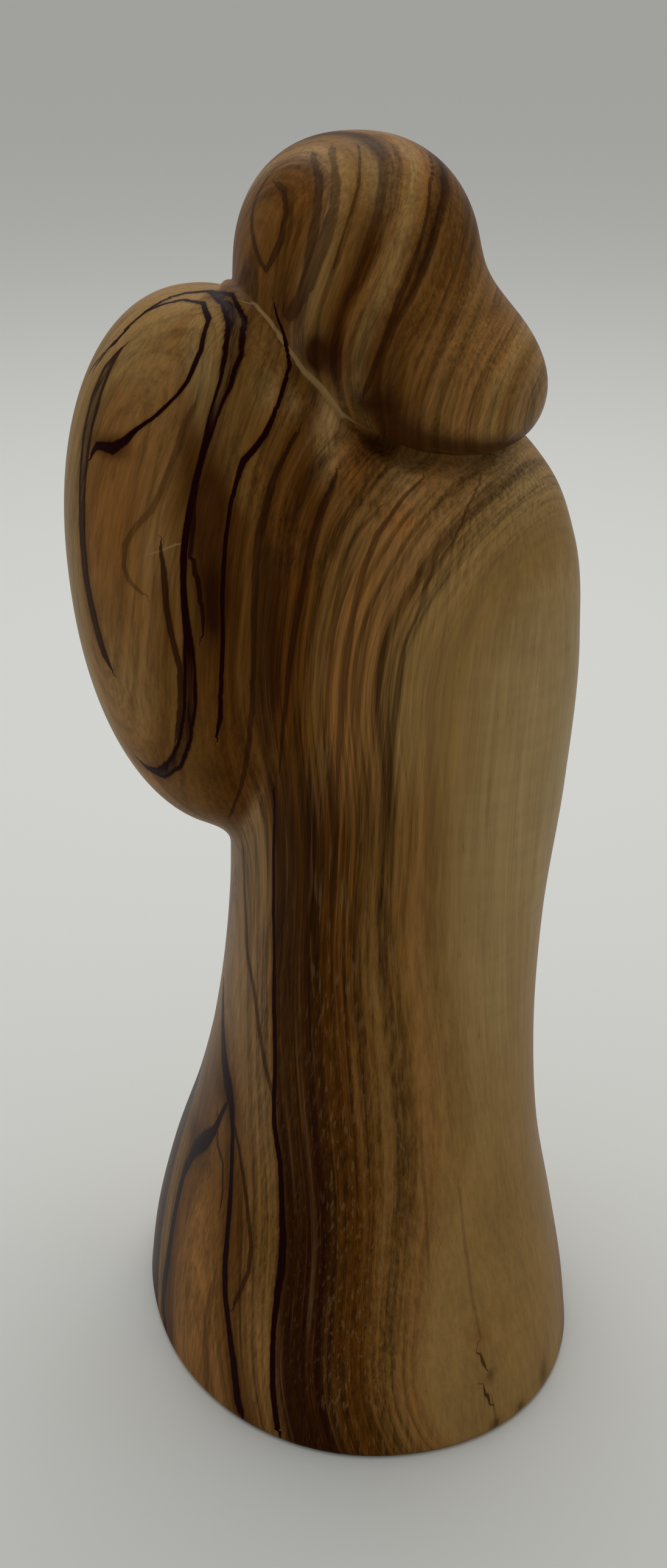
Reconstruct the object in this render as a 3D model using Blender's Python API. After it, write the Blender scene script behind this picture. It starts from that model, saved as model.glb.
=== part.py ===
"""A faceless family group, carved from one block of olive wood and standing on its own oval foot.

The masses are a robe, a hooded head whose scarf swells at the nape, a smaller veiled figure against one
shoulder, and a swaddled child in front. They are smooth eggs and one lofted robe, rounded into each other
as a carver does. The skin is found along rays that leave a spine ring by ring, so it is one closed body,
and is then thinned where the carving is plain. The front of the group faces -Y. All sizes are in metres.
"""

import math

import bmesh
import bpy
import numpy as np

HEIGHT = 0.200
FOOT_WIDTH = 0.0722
FOOT_DEPTH = 0.0964
FOOT_EDGE_RADIUS = 0.0012
NECK_GROOVE_RADIUS = 0.0019
CREST_RADIUS = 0.0010
FACE_RIM = 0.0009
FACE_GUTTER = 0.0012
FACE_RECESS = 0.0013
FOLD_DEPTH = 0.0012

# The free form is carved in shares of the height. One carving unit is a 200th of it.
UNIT = HEIGHT / 200

# The robe above its foot: height, centre x, centre y, half width, half depth, in carving units.
ROBE_STATIONS = (
    (10, -0.1, 0.0, 35.0, 46.4),
    (22, -0.4, 0.4, 32.7, 41.6),
    (38, -1.5, 1.0, 28.7, 36.0),
    (56, -2.9, 1.2, 26.3, 31.4),
    (78, -4.8, 0.6, 25.6, 28.8),
    (100, -6.4, 0.4, 27.0, 27.6),
    (124, -7.0, 0.6, 27.8, 27.0),
    (140, -6.8, 0.8, 26.4, 26.0),
    (150, -6.0, 1.0, 23.2, 23.6),
    (158, -4.6, 1.0, 17.6, 18.0),
    (166, -3.0, 1.0, 8.0, 9.0),
)
ROBE_FULLNESS = 2.12

# The eggs: centre and radii in carving units, lean, nod and turn in degrees, and how slim and full they are.
DOME = {"centre": (0.4, 0.0, 180.0), "radii": (18.1, 19.2, 20.0), "full": 2.25}
NAPE = {"centre": (-1.6, 2.6, 170.4), "radii": (18.0, 20.6, 13.0), "lean": -26}
SWELLING = {"centre": (-11.4, 10.4, 166.9), "radii": (14.2, 15.6, 9.7), "lean": -6, "nod": -16, "full": 2.2}
VEIL = {"centre": (21.0, -5.8, 134.4), "radii": (23.4, 24.0, 43.2), "lean": 4.2, "nod": 3.5, "full": 2.15}
SHOULDER = {"centre": (13.2, 4.0, 157.0), "radii": (13.0, 17.0, 22.0), "lean": 19}
CHILD_HEAD = {"centre": (3.4, -31.4, 125.5), "radii": (8.8, 9.4, 9.6)}
CHILD_BUNDLE = {"centre": (5.4, -26.6, 106.0), "radii": (11.6, 13.6, 20.0), "lean": 6, "slim": 0.1}
TALL_SLEEVE = {"centre": (-14.0, -20.4, 110.0), "radii": (9.6, 11.4, 28.0), "lean": -24}
SMALL_SLEEVE = {"centre": (22.6, -19.6, 105.0), "radii": (9.0, 12.4, 24.0), "lean": 30}

# The blank faces: centre and half sizes in carving units, nod and turn in degrees.
HOOD_FACE = {"centre": (1.2, -6.0, 180.0), "half_width": 9.4, "half_height": 12.2, "nod": 10, "turn": 7}
VEIL_FACE = {"centre": (23.3, -12.0, 153.6), "half_width": 9.6, "half_height": 12.6, "nod": 6, "turn": -2}
FACE_FADE = 6.0
# As shares of the face's half size: where the rim runs, and how wide the rim and the gutter are.
RIM_PLACE = 1.3
RELIEF_WIDTH = 0.18

# The fillets between the masses, in carving units.
NAPE_FILLET = 6.0
SWELLING_FILLET = 9.0
SHOULDER_FILLET = 9.0
VEIL_FILLET = 4.5
SLEEVE_FILLET = 5.0
CHILD_FILLET = 3.5
CHILD_NECK_FILLET = 3.0
NECK_FILLET = 1.2

# The folds: how many go by in a radian, how they sway, and where they show, in radians and carving units.
FOLDS_FROM_X = -3.0
FOLD_RATE = 8.5
FOLD_SWAY = 1.1
FOLD_SWAY_RATE = 0.03
FOLD_SIDES = (1.3, 0.6)
FOLD_FOOT = (6, 34)
FOLD_TOP = (104, 66)

# Along the neck's seam, in carving units: the x where the groove and the crest start and are full.
GROOVE_RUNS = (7.0, -1.0)
CREST_RUNS = (2.0, 8.0)
GROOVE_SOFTNESS = 1.4
CREST_SOFTNESS = 0.8
CREST_LIFT = 0.7

SKIN_SEGMENTS = 180
SOLID_TRIANGLES = 9800
# Rings of the skin: how high on the spine a zone ends, in carving units, and how many rings it holds.
RING_ZONES = ((3, 4), (88, 34), (150, 62), (164, 16), (173, 18), (180, 9))
DOME_RINGS = 26
# The rings lean with the neck: their rise towards +X and towards -Y at the seam below the head.
SEAM_RISE_X = 0.48
SEAM_RISE_FRONT = 0.16
SEAM_ON_SPINE = 168.6
LEAN_STARTS = 70
LEAN_IS_FULL = 150
# The spine that the rays leave: height, x, y, in carving units.
SPINE = ((0, 0.0, 0.0), (50, -2.0, 0.0), (90, 0.0, 0.0), (120, 3.0, -2.0), (150, 3.0, -2.0), (180, 0.0, 0.0))
# The search for the skin along a ray, from REACH units away, and for the seam along the spine.
REACH = 75
COARSE_STEPS = 75
SEAM_SEARCH = 12
SEAM_SEARCH_RINGS = 97
SEAM_SMOOTHINGS = 2
HALVINGS = 24


def through(heights, stations):
    """Reads smooth curves through the stations: one column of values for each, at each height."""
    table = np.array(stations, float)
    known, values = table[:, 0], table[:, 1:]
    slopes = np.gradient(values, known, axis=0)
    at = np.clip(heights, known[0], known[-1])
    left = np.clip(np.searchsorted(known, at) - 1, 0, len(known) - 2)
    span = (known[left + 1] - known[left])[:, None]
    part = ((at - known[left])[:, None]) / span
    rise = values[left + 1] - values[left]
    ease = part * part * (3 - 2 * part)
    start = part * (1 - part) ** 2
    end = part * part * (part - 1)
    return values[left] + rise * ease + span * (start * slopes[left] + end * slopes[left + 1])


def eased(values, low, high):
    """Goes smoothly from 0 at low to 1 at high, whichever of the two is the larger."""
    part = np.clip((values - low) / (high - low), 0, 1)
    return part * part * (3 - 2 * part)


def blend(first, second, width):
    """Joins two masses, with a fillet about as wide as given."""
    near = np.maximum(width - np.abs(first - second), 0) / width
    return np.minimum(first, second) - near * near * width / 4


def carve(mass, cutter, width):
    """Takes the cutter out of the mass, with a softened edge."""
    return -blend(-mass, cutter, width)


def turned(points, centre, lean, nod, turn):
    """The points as the egg at that centre sees them: lean is about Y, nod about X and turn about Z."""
    local = points - np.array(centre, float)
    for angle, (one, other) in ((turn, (0, 1)), (nod, (1, 2)), (lean, (2, 0))):
        cos, sin = math.cos(math.radians(angle)), math.sin(math.radians(angle))
        first, second = local[:, one].copy(), local[:, other].copy()
        local[:, one] = cos * first + sin * second
        local[:, other] = cos * second - sin * first
    return local


def oval(local, radii, full):
    """Distance from an oval about the origin, negative inside it, and boxier as full rises above 2."""
    share = np.maximum(np.abs(local) / radii, 1e-9)
    near = np.sum(share**full, axis=1) ** (1 / full)
    steep = near ** (1 - full) * np.linalg.norm(share ** (full - 1) / radii, axis=1)
    return (near - 1) / steep


def egg(points, centre, radii, lean=0.0, nod=0.0, turn=0.0, slim=0.0, full=2.0):
    """Distance from an egg, negative inside it.

    It is slimmer towards its top by the share slim, and boxier as full rises above 2.
    """
    local = turned(points, centre, lean, nod, turn)
    girth = 1 - slim * np.clip(local[:, 2] / radii[2], -1.2, 1.2)
    local[:, 0] /= girth
    local[:, 1] /= girth
    return oval(local, radii, full)


def robe(points):
    """Distance from the robe: an oval that runs up from the foot to the shoulders."""
    foot = (0.0, 0.0, 0.0, FOOT_WIDTH / 2 / UNIT, FOOT_DEPTH / 2 / UNIT)
    middle_x, middle_y, half_width, half_depth = through(points[:, 2], (foot,) + ROBE_STATIONS).T
    edge = FOOT_EDGE_RADIUS / UNIT
    below = np.clip(edge - points[:, 2], 0, edge)
    inset = edge - np.sqrt(edge * edge - below * below)
    half_width = half_width - inset
    half_depth = half_depth - inset
    x, y = points[:, 0] - middle_x, points[:, 1] - middle_y
    side = oval(np.column_stack([x, y]), np.column_stack([half_width, half_depth]), ROBE_FULLNESS)
    top = points[:, 2] - ROBE_STATIONS[-1][0]
    return np.maximum(side, top)


def draped(points, mass):
    """The robe with long shallow folds down its front, which die out at the sides and towards the hem."""
    around = np.arctan2(points[:, 0] - FOLDS_FROM_X, -points[:, 1])
    height = points[:, 2]
    shown = eased(np.abs(around), *FOLD_SIDES) * eased(height, *FOLD_FOOT) * eased(height, *FOLD_TOP)
    sway = FOLD_SWAY * np.sin(FOLD_SWAY_RATE * height)
    return mass + FOLD_DEPTH / UNIT * shown * np.cos(FOLD_RATE * around + sway)


def hood(points):
    """The tall figure's head: a dome, the nape under it, and the scarf's swelling behind one shoulder."""
    head = blend(egg(points, **DOME), egg(points, **NAPE), NAPE_FILLET)
    return blend(head, egg(points, **SWELLING), SWELLING_FILLET)


def blank_face(points, mass, centre, half_width, half_height, nod, turn):
    """Sets a smooth blank oval back in the opening of a hood or veil, with a rounded rim around it."""
    local = turned(points, centre, 0.0, nod, turn)
    near = np.hypot(local[:, 0] / half_width, local[:, 2] / half_height)
    in_front = eased(-local[:, 1], 0, FACE_FADE)
    rim = FACE_RIM * np.exp(-(((near - RIM_PLACE) / RELIEF_WIDTH) ** 2))
    gutter = FACE_GUTTER * np.exp(-(((near - 1) / RELIEF_WIDTH) ** 2))
    recess = FACE_RECESS * eased(near, RIM_PLACE, 2 - RIM_PLACE)
    return mass + in_front * (gutter + recess - rim) / UNIT


def body_and_head(points):
    """Distances from the two halves of the group that meet at the neck: all below it, and the hood."""
    body = blend(draped(points, robe(points)), egg(points, **SHOULDER), SHOULDER_FILLET)
    body = blend(body, blank_face(points, egg(points, **VEIL), **VEIL_FACE), VEIL_FILLET)
    sleeves = np.minimum(egg(points, **TALL_SLEEVE), egg(points, **SMALL_SLEEVE))
    body = blend(body, sleeves, SLEEVE_FILLET)
    child = blend(egg(points, **CHILD_HEAD), egg(points, **CHILD_BUNDLE), CHILD_NECK_FILLET)
    return blend(body, child, CHILD_FILLET), blank_face(points, hood(points), **HOOD_FACE)


def swept(x, runs, radius, softness):
    """The radius of a bead or groove that swells from nothing to its full size between two places."""
    return (radius / UNIT + softness) * eased(x, *runs) - softness


def carving(points):
    """Distance from the whole carving, negative inside it, at points in carving units."""
    body, head = body_and_head(points)
    groove = np.hypot(head, body) - swept(points[:, 0], GROOVE_RUNS, NECK_GROOVE_RADIUS, GROOVE_SOFTNESS)
    crest = np.hypot(head - CREST_LIFT, body) - swept(points[:, 0], CREST_RUNS, CREST_RADIUS, CREST_SOFTNESS)
    joined = blend(head, body, NECK_FILLET)
    return blend(carve(joined, groove, GROOVE_SOFTNESS), crest, CREST_SOFTNESS)


def reached(starts, ways):
    """How far along each ray the outermost skin is."""
    outside = np.full(len(starts), float(REACH))
    inside = np.zeros(len(starts))
    for step in np.linspace(REACH, 0, COARSE_STEPS):
        unfound = np.flatnonzero(inside == 0)
        here = carving(starts[unfound] + ways[unfound] * step) < 0
        inside[unfound[here]] = max(step, 1e-6)
        outside[unfound[~here]] = step
    for _ in range(HALVINGS):
        middle = (inside + outside) / 2
        solid = carving(starts + ways * middle[:, None]) < 0
        inside = np.where(solid, middle, inside)
        outside = np.where(solid, outside, middle)
    return inside


def rays(heights, upward):
    """The rays of each ring, from heights on the spine that may differ around the ring."""
    around = np.linspace(0, 2 * math.pi, SKIN_SEGMENTS, endpoint=False)
    flat = np.cos(upward)[:, None]
    across_x, across_y = flat * np.cos(around), flat * np.sin(around)
    leaning = eased(heights, LEAN_STARTS, LEAN_IS_FULL)
    rise = leaning * (SEAM_RISE_X * across_x - SEAM_RISE_FRONT * across_y)
    ways = np.stack([across_x, across_y, rise + np.sin(upward)[:, None]], axis=-1).reshape(-1, 3)
    level = heights.reshape(-1)
    return np.column_stack([through(level, SPINE), level]), ways


def seam_heights():
    """Where on the spine the ray that meets the neck's seam starts, for each place around it."""
    levels = np.linspace(SEAM_ON_SPINE - SEAM_SEARCH, SEAM_ON_SPINE + SEAM_SEARCH, SEAM_SEARCH_RINGS)
    starts, ways = rays(np.repeat(levels[:, None], SKIN_SEGMENTS, axis=1), np.zeros(len(levels)))
    body, head = body_and_head(starts + ways * reached(starts, ways)[:, None])
    below = (body < head).reshape(len(levels), SKIN_SEGMENTS)
    seam = levels[0] + (levels[1] - levels[0]) * (below.sum(axis=0) - 0.5)
    for _ in range(SEAM_SMOOTHINGS):
        seam = (np.roll(seam, 1) + 2 * seam + np.roll(seam, -1)) / 4
    return seam


def skin_points():
    """The skin's corners: one row for each ring, and the crown as a last single point."""
    levels = [0.0]
    for top, count in RING_ZONES:
        levels += list(np.linspace(levels[-1], top, count + 1)[1:])
    upward = [0.0] * len(levels) + [90 * step / (DOME_RINGS + 1) for step in range(1, DOME_RINGS + 1)]
    levels = np.array(levels + [levels[-1]] * DOME_RINGS)
    near_seam = eased(levels, LEAN_STARTS, SEAM_ON_SPINE) * eased(levels, levels[-1], SEAM_ON_SPINE)
    heights = levels[:, None] + near_seam[:, None] * (seam_heights() - SEAM_ON_SPINE)
    starts, ways = rays(heights, np.radians(upward))
    starts = np.vstack([starts, starts[-1]])
    ways = np.vstack([ways, [[0.0, 0.0, 1.0]]])
    return (starts + ways * reached(starts, ways)[:, None]) * UNIT


def skin_mesh(points):
    """One closed body: quads between the rings, a fan at the crown and a flat face under the foot."""
    shape = bmesh.new()
    corners = [shape.verts.new(point) for point in points]
    rings = (len(corners) - 1) // SKIN_SEGMENTS
    for ring in range(rings - 1):
        for place in range(SKIN_SEGMENTS):
            here, beside = ring * SKIN_SEGMENTS + place, ring * SKIN_SEGMENTS + (place + 1) % SKIN_SEGMENTS
            shape.faces.new([corners[at] for at in (here, beside, beside + SKIN_SEGMENTS, here + SKIN_SEGMENTS)])
    last = (rings - 1) * SKIN_SEGMENTS
    for place in range(SKIN_SEGMENTS):
        shape.faces.new([corners[last + place], corners[last + (place + 1) % SKIN_SEGMENTS], corners[-1]])
    shape.faces.new(corners[SKIN_SEGMENTS - 1 :: -1])
    mesh = bpy.data.meshes.new("holy_family_carving")
    shape.to_mesh(mesh)
    shape.free()
    mesh.shade_smooth()
    mesh.set_sharp_from_angle(angle=math.radians(80))
    return mesh


def olive_wood():
    material = bpy.data.materials.new("olive_wood")
    material.use_nodes = True
    surface = material.node_tree.nodes["Principled BSDF"]
    surface.inputs["Base Color"].default_value = (0.30, 0.17, 0.075, 1)
    surface.inputs["Roughness"].default_value = 0.38
    surface.inputs["Metallic"].default_value = 0.0
    return material


def main():
    for old in list(bpy.data.objects):
        bpy.data.objects.remove(old, do_unlink=True)
    mesh = skin_mesh(skin_points())
    mesh.materials.append(olive_wood())
    piece = bpy.data.objects.new("holy_family_carving", mesh)
    bpy.context.scene.collection.objects.link(piece)
    fewer = piece.modifiers.new("fewer triangles on the plain stretches", "DECIMATE")
    fewer.ratio = SOLID_TRIANGLES / sum(len(face.vertices) - 2 for face in mesh.polygons)


main()
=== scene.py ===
"""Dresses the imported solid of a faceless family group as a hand-polished carving in figured olive wood.

The carving is cast again in a fine skin from the same masses as its solid: a robe on an oval foot, a hooded
head whose scarf swells at the nape, a smaller veiled figure against one shoulder and a child in front. Every
point of the skin knows where it lies in the log, and the wood's figure is read from that: dark and honey
coloured rings about a pith that runs just outside the block, ink lines between them, and pale sapwood on the
far side. The skin is worked out in carving units, 200 to the height. Objects are in metres.
"""

import functools
import math

import bpy
import numpy as np
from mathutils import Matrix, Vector


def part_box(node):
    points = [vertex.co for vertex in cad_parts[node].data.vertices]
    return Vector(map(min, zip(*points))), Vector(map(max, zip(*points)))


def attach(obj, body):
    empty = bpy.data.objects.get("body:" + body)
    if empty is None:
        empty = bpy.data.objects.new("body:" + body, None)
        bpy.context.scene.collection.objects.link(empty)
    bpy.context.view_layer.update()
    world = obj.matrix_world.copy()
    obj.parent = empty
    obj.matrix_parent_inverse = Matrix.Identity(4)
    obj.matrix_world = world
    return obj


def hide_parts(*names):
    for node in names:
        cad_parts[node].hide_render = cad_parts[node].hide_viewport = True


bl_info = {
    "name": "Olive wood family group",
    "version": (1, 0, 0),
    "blender": (4, 5, 0),
    "location": "View3D > Sidebar > Carving",
    "description": "Makes a faceless family group in figured olive wood, with its table and light",
    "category": "Object",
}

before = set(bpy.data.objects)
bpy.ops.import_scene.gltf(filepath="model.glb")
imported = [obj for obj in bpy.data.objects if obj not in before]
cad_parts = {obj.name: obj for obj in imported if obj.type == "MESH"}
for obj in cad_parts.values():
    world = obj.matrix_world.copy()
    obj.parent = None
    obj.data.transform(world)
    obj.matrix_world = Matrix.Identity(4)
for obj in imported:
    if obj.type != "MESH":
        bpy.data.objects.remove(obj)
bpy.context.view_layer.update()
NODE = "holy_family_carving"
UNITS_HIGH = 200
FINENESS = 300
CROWN_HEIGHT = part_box(NODE)[1].z

# The robe above its foot: height, centre x, centre y, half width, half depth, in carving units.
ROBE_STATIONS = (
    (10, -0.1, 0.0, 35.0, 46.4),
    (22, -0.4, 0.4, 32.7, 41.6),
    (38, -1.5, 1.0, 28.7, 36.0),
    (56, -2.9, 1.2, 26.3, 31.4),
    (78, -4.8, 0.6, 25.6, 28.8),
    (100, -6.4, 0.4, 27.0, 27.6),
    (124, -7.0, 0.6, 27.8, 27.0),
    (140, -6.8, 0.8, 26.4, 26.0),
    (150, -6.0, 1.0, 23.2, 23.6),
    (158, -4.6, 1.0, 17.6, 18.0),
    (166, -3.0, 1.0, 8.0, 9.0),
)
ROBE_FULLNESS = 2.12

# The eggs: centre and radii in carving units, lean, nod and turn in degrees, and how slim and full they
# are.
DOME = {"centre": (0.4, 0.0, 180.0), "radii": (18.1, 19.2, 20.0), "full": 2.25}
NAPE = {"centre": (-1.6, 2.6, 170.4), "radii": (18.0, 20.6, 13.0), "lean": -26}
SWELLING = {"centre": (-11.4, 10.4, 166.9), "radii": (14.2, 15.6, 9.7), "lean": -6, "nod": -16, "full": 2.2}
VEIL = {"centre": (21.0, -5.8, 134.4), "radii": (23.4, 24.0, 43.2), "lean": 4.2, "nod": 3.5, "full": 2.15}
SHOULDER = {"centre": (13.2, 4.0, 157.0), "radii": (13.0, 17.0, 22.0), "lean": 19}
CHILD_HEAD = {"centre": (3.4, -31.4, 125.5), "radii": (8.8, 9.4, 9.6)}
CHILD_BUNDLE = {"centre": (5.4, -26.6, 106.0), "radii": (11.6, 13.6, 20.0), "lean": 6, "slim": 0.1}
TALL_SLEEVE = {"centre": (-14.0, -20.4, 110.0), "radii": (9.6, 11.4, 28.0), "lean": -24}
SMALL_SLEEVE = {"centre": (22.6, -19.6, 105.0), "radii": (9.0, 12.4, 24.0), "lean": 30}

# The blank faces: centre and half sizes in carving units, nod and turn in degrees.
HOOD_FACE = {"centre": (1.2, -6.0, 180.0), "half_width": 9.4, "half_height": 12.2, "nod": 10, "turn": 7}
VEIL_FACE = {"centre": (23.3, -12.0, 153.6), "half_width": 9.6, "half_height": 12.6, "nod": 6, "turn": -2}
FACE_FADE = 6.0
# As shares of the face's half size: where the rim runs, and how wide the rim and the gutter are.
RIM_PLACE = 1.3
RELIEF_WIDTH = 0.18
# As shares of the recess: how high the rim stands and how deep the gutter inside it is.
RIM_HEIGHT = 0.7
GUTTER_DEPTH = 0.92
# How far past its ends, as a share of its half height, an egg keeps getting slimmer.
SLIM_REACH = 1.2

# The fillets between the masses, in carving units.
NAPE_FILLET = 6.0
SWELLING_FILLET = 9.0
SHOULDER_FILLET = 9.0
VEIL_FILLET = 4.5
SLEEVE_FILLET = 5.0
CHILD_FILLET = 3.5
CHILD_NECK_FILLET = 3.0
NECK_FILLET = 1.2

# The folds: how many go by in a radian, how they sway, and where they show, in radians and carving units.
FOLDS_FROM_X = -3.0
FOLD_RATE = 8.5
FOLD_SWAY = 1.1
FOLD_SWAY_RATE = 0.03
FOLD_SIDES = (1.3, 0.6)
FOLD_FOOT = (6, 34)
FOLD_TOP = (104, 66)

# Along the neck's seam, in carving units: the x where the groove and the crest start and are full.
GROOVE_RUNS = (7.0, -1.0)
CREST_RUNS = (2.0, 8.0)
GROOVE_SOFTNESS = 1.4
CREST_SOFTNESS = 0.8
CREST_LIFT = 0.7

# The skin's rings: how high on the spine a zone ends, in carving units, and its share of the rings.
RING_ZONES = ((3, 0.03), (88, 0.23), (150, 0.32), (164, 0.12), (173, 0.12), (180, 0.04))
DOME_SHARE = 0.14
# The rays lean with the neck's seam: how it rises towards the veil and the front, where it meets the
# spine, and the heights over which the lean sets in.
SEAM_RISE_X = 0.48
SEAM_RISE_FRONT = 0.16
SEAM_ON_SPINE = 168.6
LEAN_STARTS = 70
LEAN_IS_FULL = 150
# The spine that the rays leave: height, x, y, in carving units.
SPINE = ((0, 0.0, 0.0), (50, -2.0, 0.0), (90, 0.0, 0.0), (120, 3.0, -2.0), (150, 3.0, -2.0), (180, 0.0, 0.0))
# The search for the skin along a ray, inward from REACH: each step is a share of the distance, or the
# least one.
REACH = 75
MARCH_STEPS = 60
MARCH_SHARE = 0.6
MARCH_LEAST = 0.25
HALVINGS = 14
# The search for the seam: how far above and below its place on the spine, in how many rings, and how
# often it is smoothed.
SEAM_SEARCH = 12
SEAM_SEARCH_RINGS = 61
SEAM_SMOOTHINGS = 2
# Edges between faces that turn by more than this, in degrees, stay sharp.
SHARP_FROM = 70

# The pith of the log: height, x, y, in carving units. The rings are ovals about it, turned by PITH_TURN.
PITH = (
    (0, 37.4, 26.9),
    (25, 43.5, 19.8),
    (50, 46.7, 13.9),
    (75, 50.6, 12.0),
    (100, 57.4, 15.6),
    (125, 54.0, 12.0),
    (150, 46.9, 11.9),
    (175, 47.4, 16.6),
    (200, 50.7, 25.6),
)
PITH_TURN = -1.17
RING_FLATNESS = 0.45
# Where the rings bulge: x, y, z and by how much, in carving units, each over a reach of BULGE_REACH.
BULGES = (
    (18, 32, 31, -3.1),
    (-15, 20, 154, -1.9),
    (-3, 40, 28, 2.4),
    (16, 16, 94, -2.4),
    (22, 17, 151, 4.0),
    (5, 27, 88, 1.5),
    (32, 8, 104, 2.9),
    (29, 15, 114, -1.9),
    (26, 21, 31, 1.7),
    (7, 24, 127, 0.9),
    (17, 26, 45, -1.0),
    (17, 20, 161, -3.1),
    (29, 17, 137, -2.0),
    (14, 15, 175, 1.5),
    (2, 16, 193, -1.1),
    (-9, 6, 197, 1.0),
    (-22, 34, 4, 8.0),
    (-6, 42, 6, 4.5),
    (-30, 18, 30, 4.0),
)
BULGE_REACH = 16.0
AROUND_SCALE = 40.0
# Over the scarf's swelling the rings open out: how fast, from which x at the height given, and how that x
# leans.
SCARF_OPENING = 0.5
SCARF_FROM = (-2.0, 170.0, -0.4)
# How far the fibres lean: height, shift in x, shift in y, in carving units.
FIBRE_LEAN = ((0, 0, 0), (60, 0, 0), (110, -0.6, 0), (140, -4, 0), (170, -14, 0), (200, -25, 0))
# The point inside the group that the sides of the veins are told from.
VEIN_MIDDLE = (3.0, 0.0, 140.0)
# How far from a vein, in half widths and in carving units on top, its colour has died out, so that its
# strength may fall, and at how many times that distance the strength is gone.
VEIN_FADE = (2.0, 1.2)
VEIN_GONE = 1.3


def through(heights, stations):
    """Reads smooth curves through the stations: one column of values for each, at each height."""
    table = np.array(stations, float)
    known, values = table[:, 0], table[:, 1:]
    slopes = np.gradient(values, known, axis=0)
    at = np.clip(heights, known[0], known[-1])
    left = np.clip(np.searchsorted(known, at) - 1, 0, len(known) - 2)
    span = (known[left + 1] - known[left])[:, None]
    part = ((at - known[left])[:, None]) / span
    rise = values[left + 1] - values[left]
    ease = part * part * (3 - 2 * part)
    start = part * (1 - part) ** 2
    end = part * part * (part - 1)
    return values[left] + rise * ease + span * (start * slopes[left] + end * slopes[left + 1])


def eased(values, low, high):
    """Goes smoothly from 0 at low to 1 at high, whichever of the two is the larger."""
    part = np.clip((values - low) / (high - low), 0, 1)
    return part * part * (3 - 2 * part)


def blend(first, second, width):
    """Joins two masses, with a fillet about as wide as given."""
    near = np.maximum(width - np.abs(first - second), 0) / width
    return np.minimum(first, second) - near * near * width / 4


def carve(mass, cutter, width):
    """Takes the cutter out of the mass, with a softened edge."""
    return -blend(-mass, cutter, width)


def turned(points, centre, lean, nod, turn):
    """The points as the egg at that centre sees them: lean is about Y, nod about X and turn about Z."""
    local = points - np.array(centre, float)
    for angle, (one, other) in ((turn, (0, 1)), (nod, (1, 2)), (lean, (2, 0))):
        cos, sin = math.cos(math.radians(angle)), math.sin(math.radians(angle))
        first, second = local[:, one].copy(), local[:, other].copy()
        local[:, one] = cos * first + sin * second
        local[:, other] = cos * second - sin * first
    return local


def oval(local, radii, full):
    """Distance from an oval about the origin, negative inside it, and boxier as full rises above 2."""
    share = np.maximum(np.abs(local) / radii, 1e-9)
    near = np.sum(share**full, axis=1) ** (1 / full)
    steep = near ** (1 - full) * np.linalg.norm(share ** (full - 1) / radii, axis=1)
    return (near - 1) / steep


def egg(points, centre, radii, lean=0.0, nod=0.0, turn=0.0, slim=0.0, full=2.0):
    """Distance from an egg, negative inside it.

    It is slimmer towards its top by the share slim, and boxier as full rises above 2.
    """
    local = turned(points, centre, lean, nod, turn)
    girth = 1 - slim * np.clip(local[:, 2] / radii[2], -SLIM_REACH, SLIM_REACH)
    local[:, 0] /= girth
    local[:, 1] /= girth
    return oval(local, radii, full)


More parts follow.
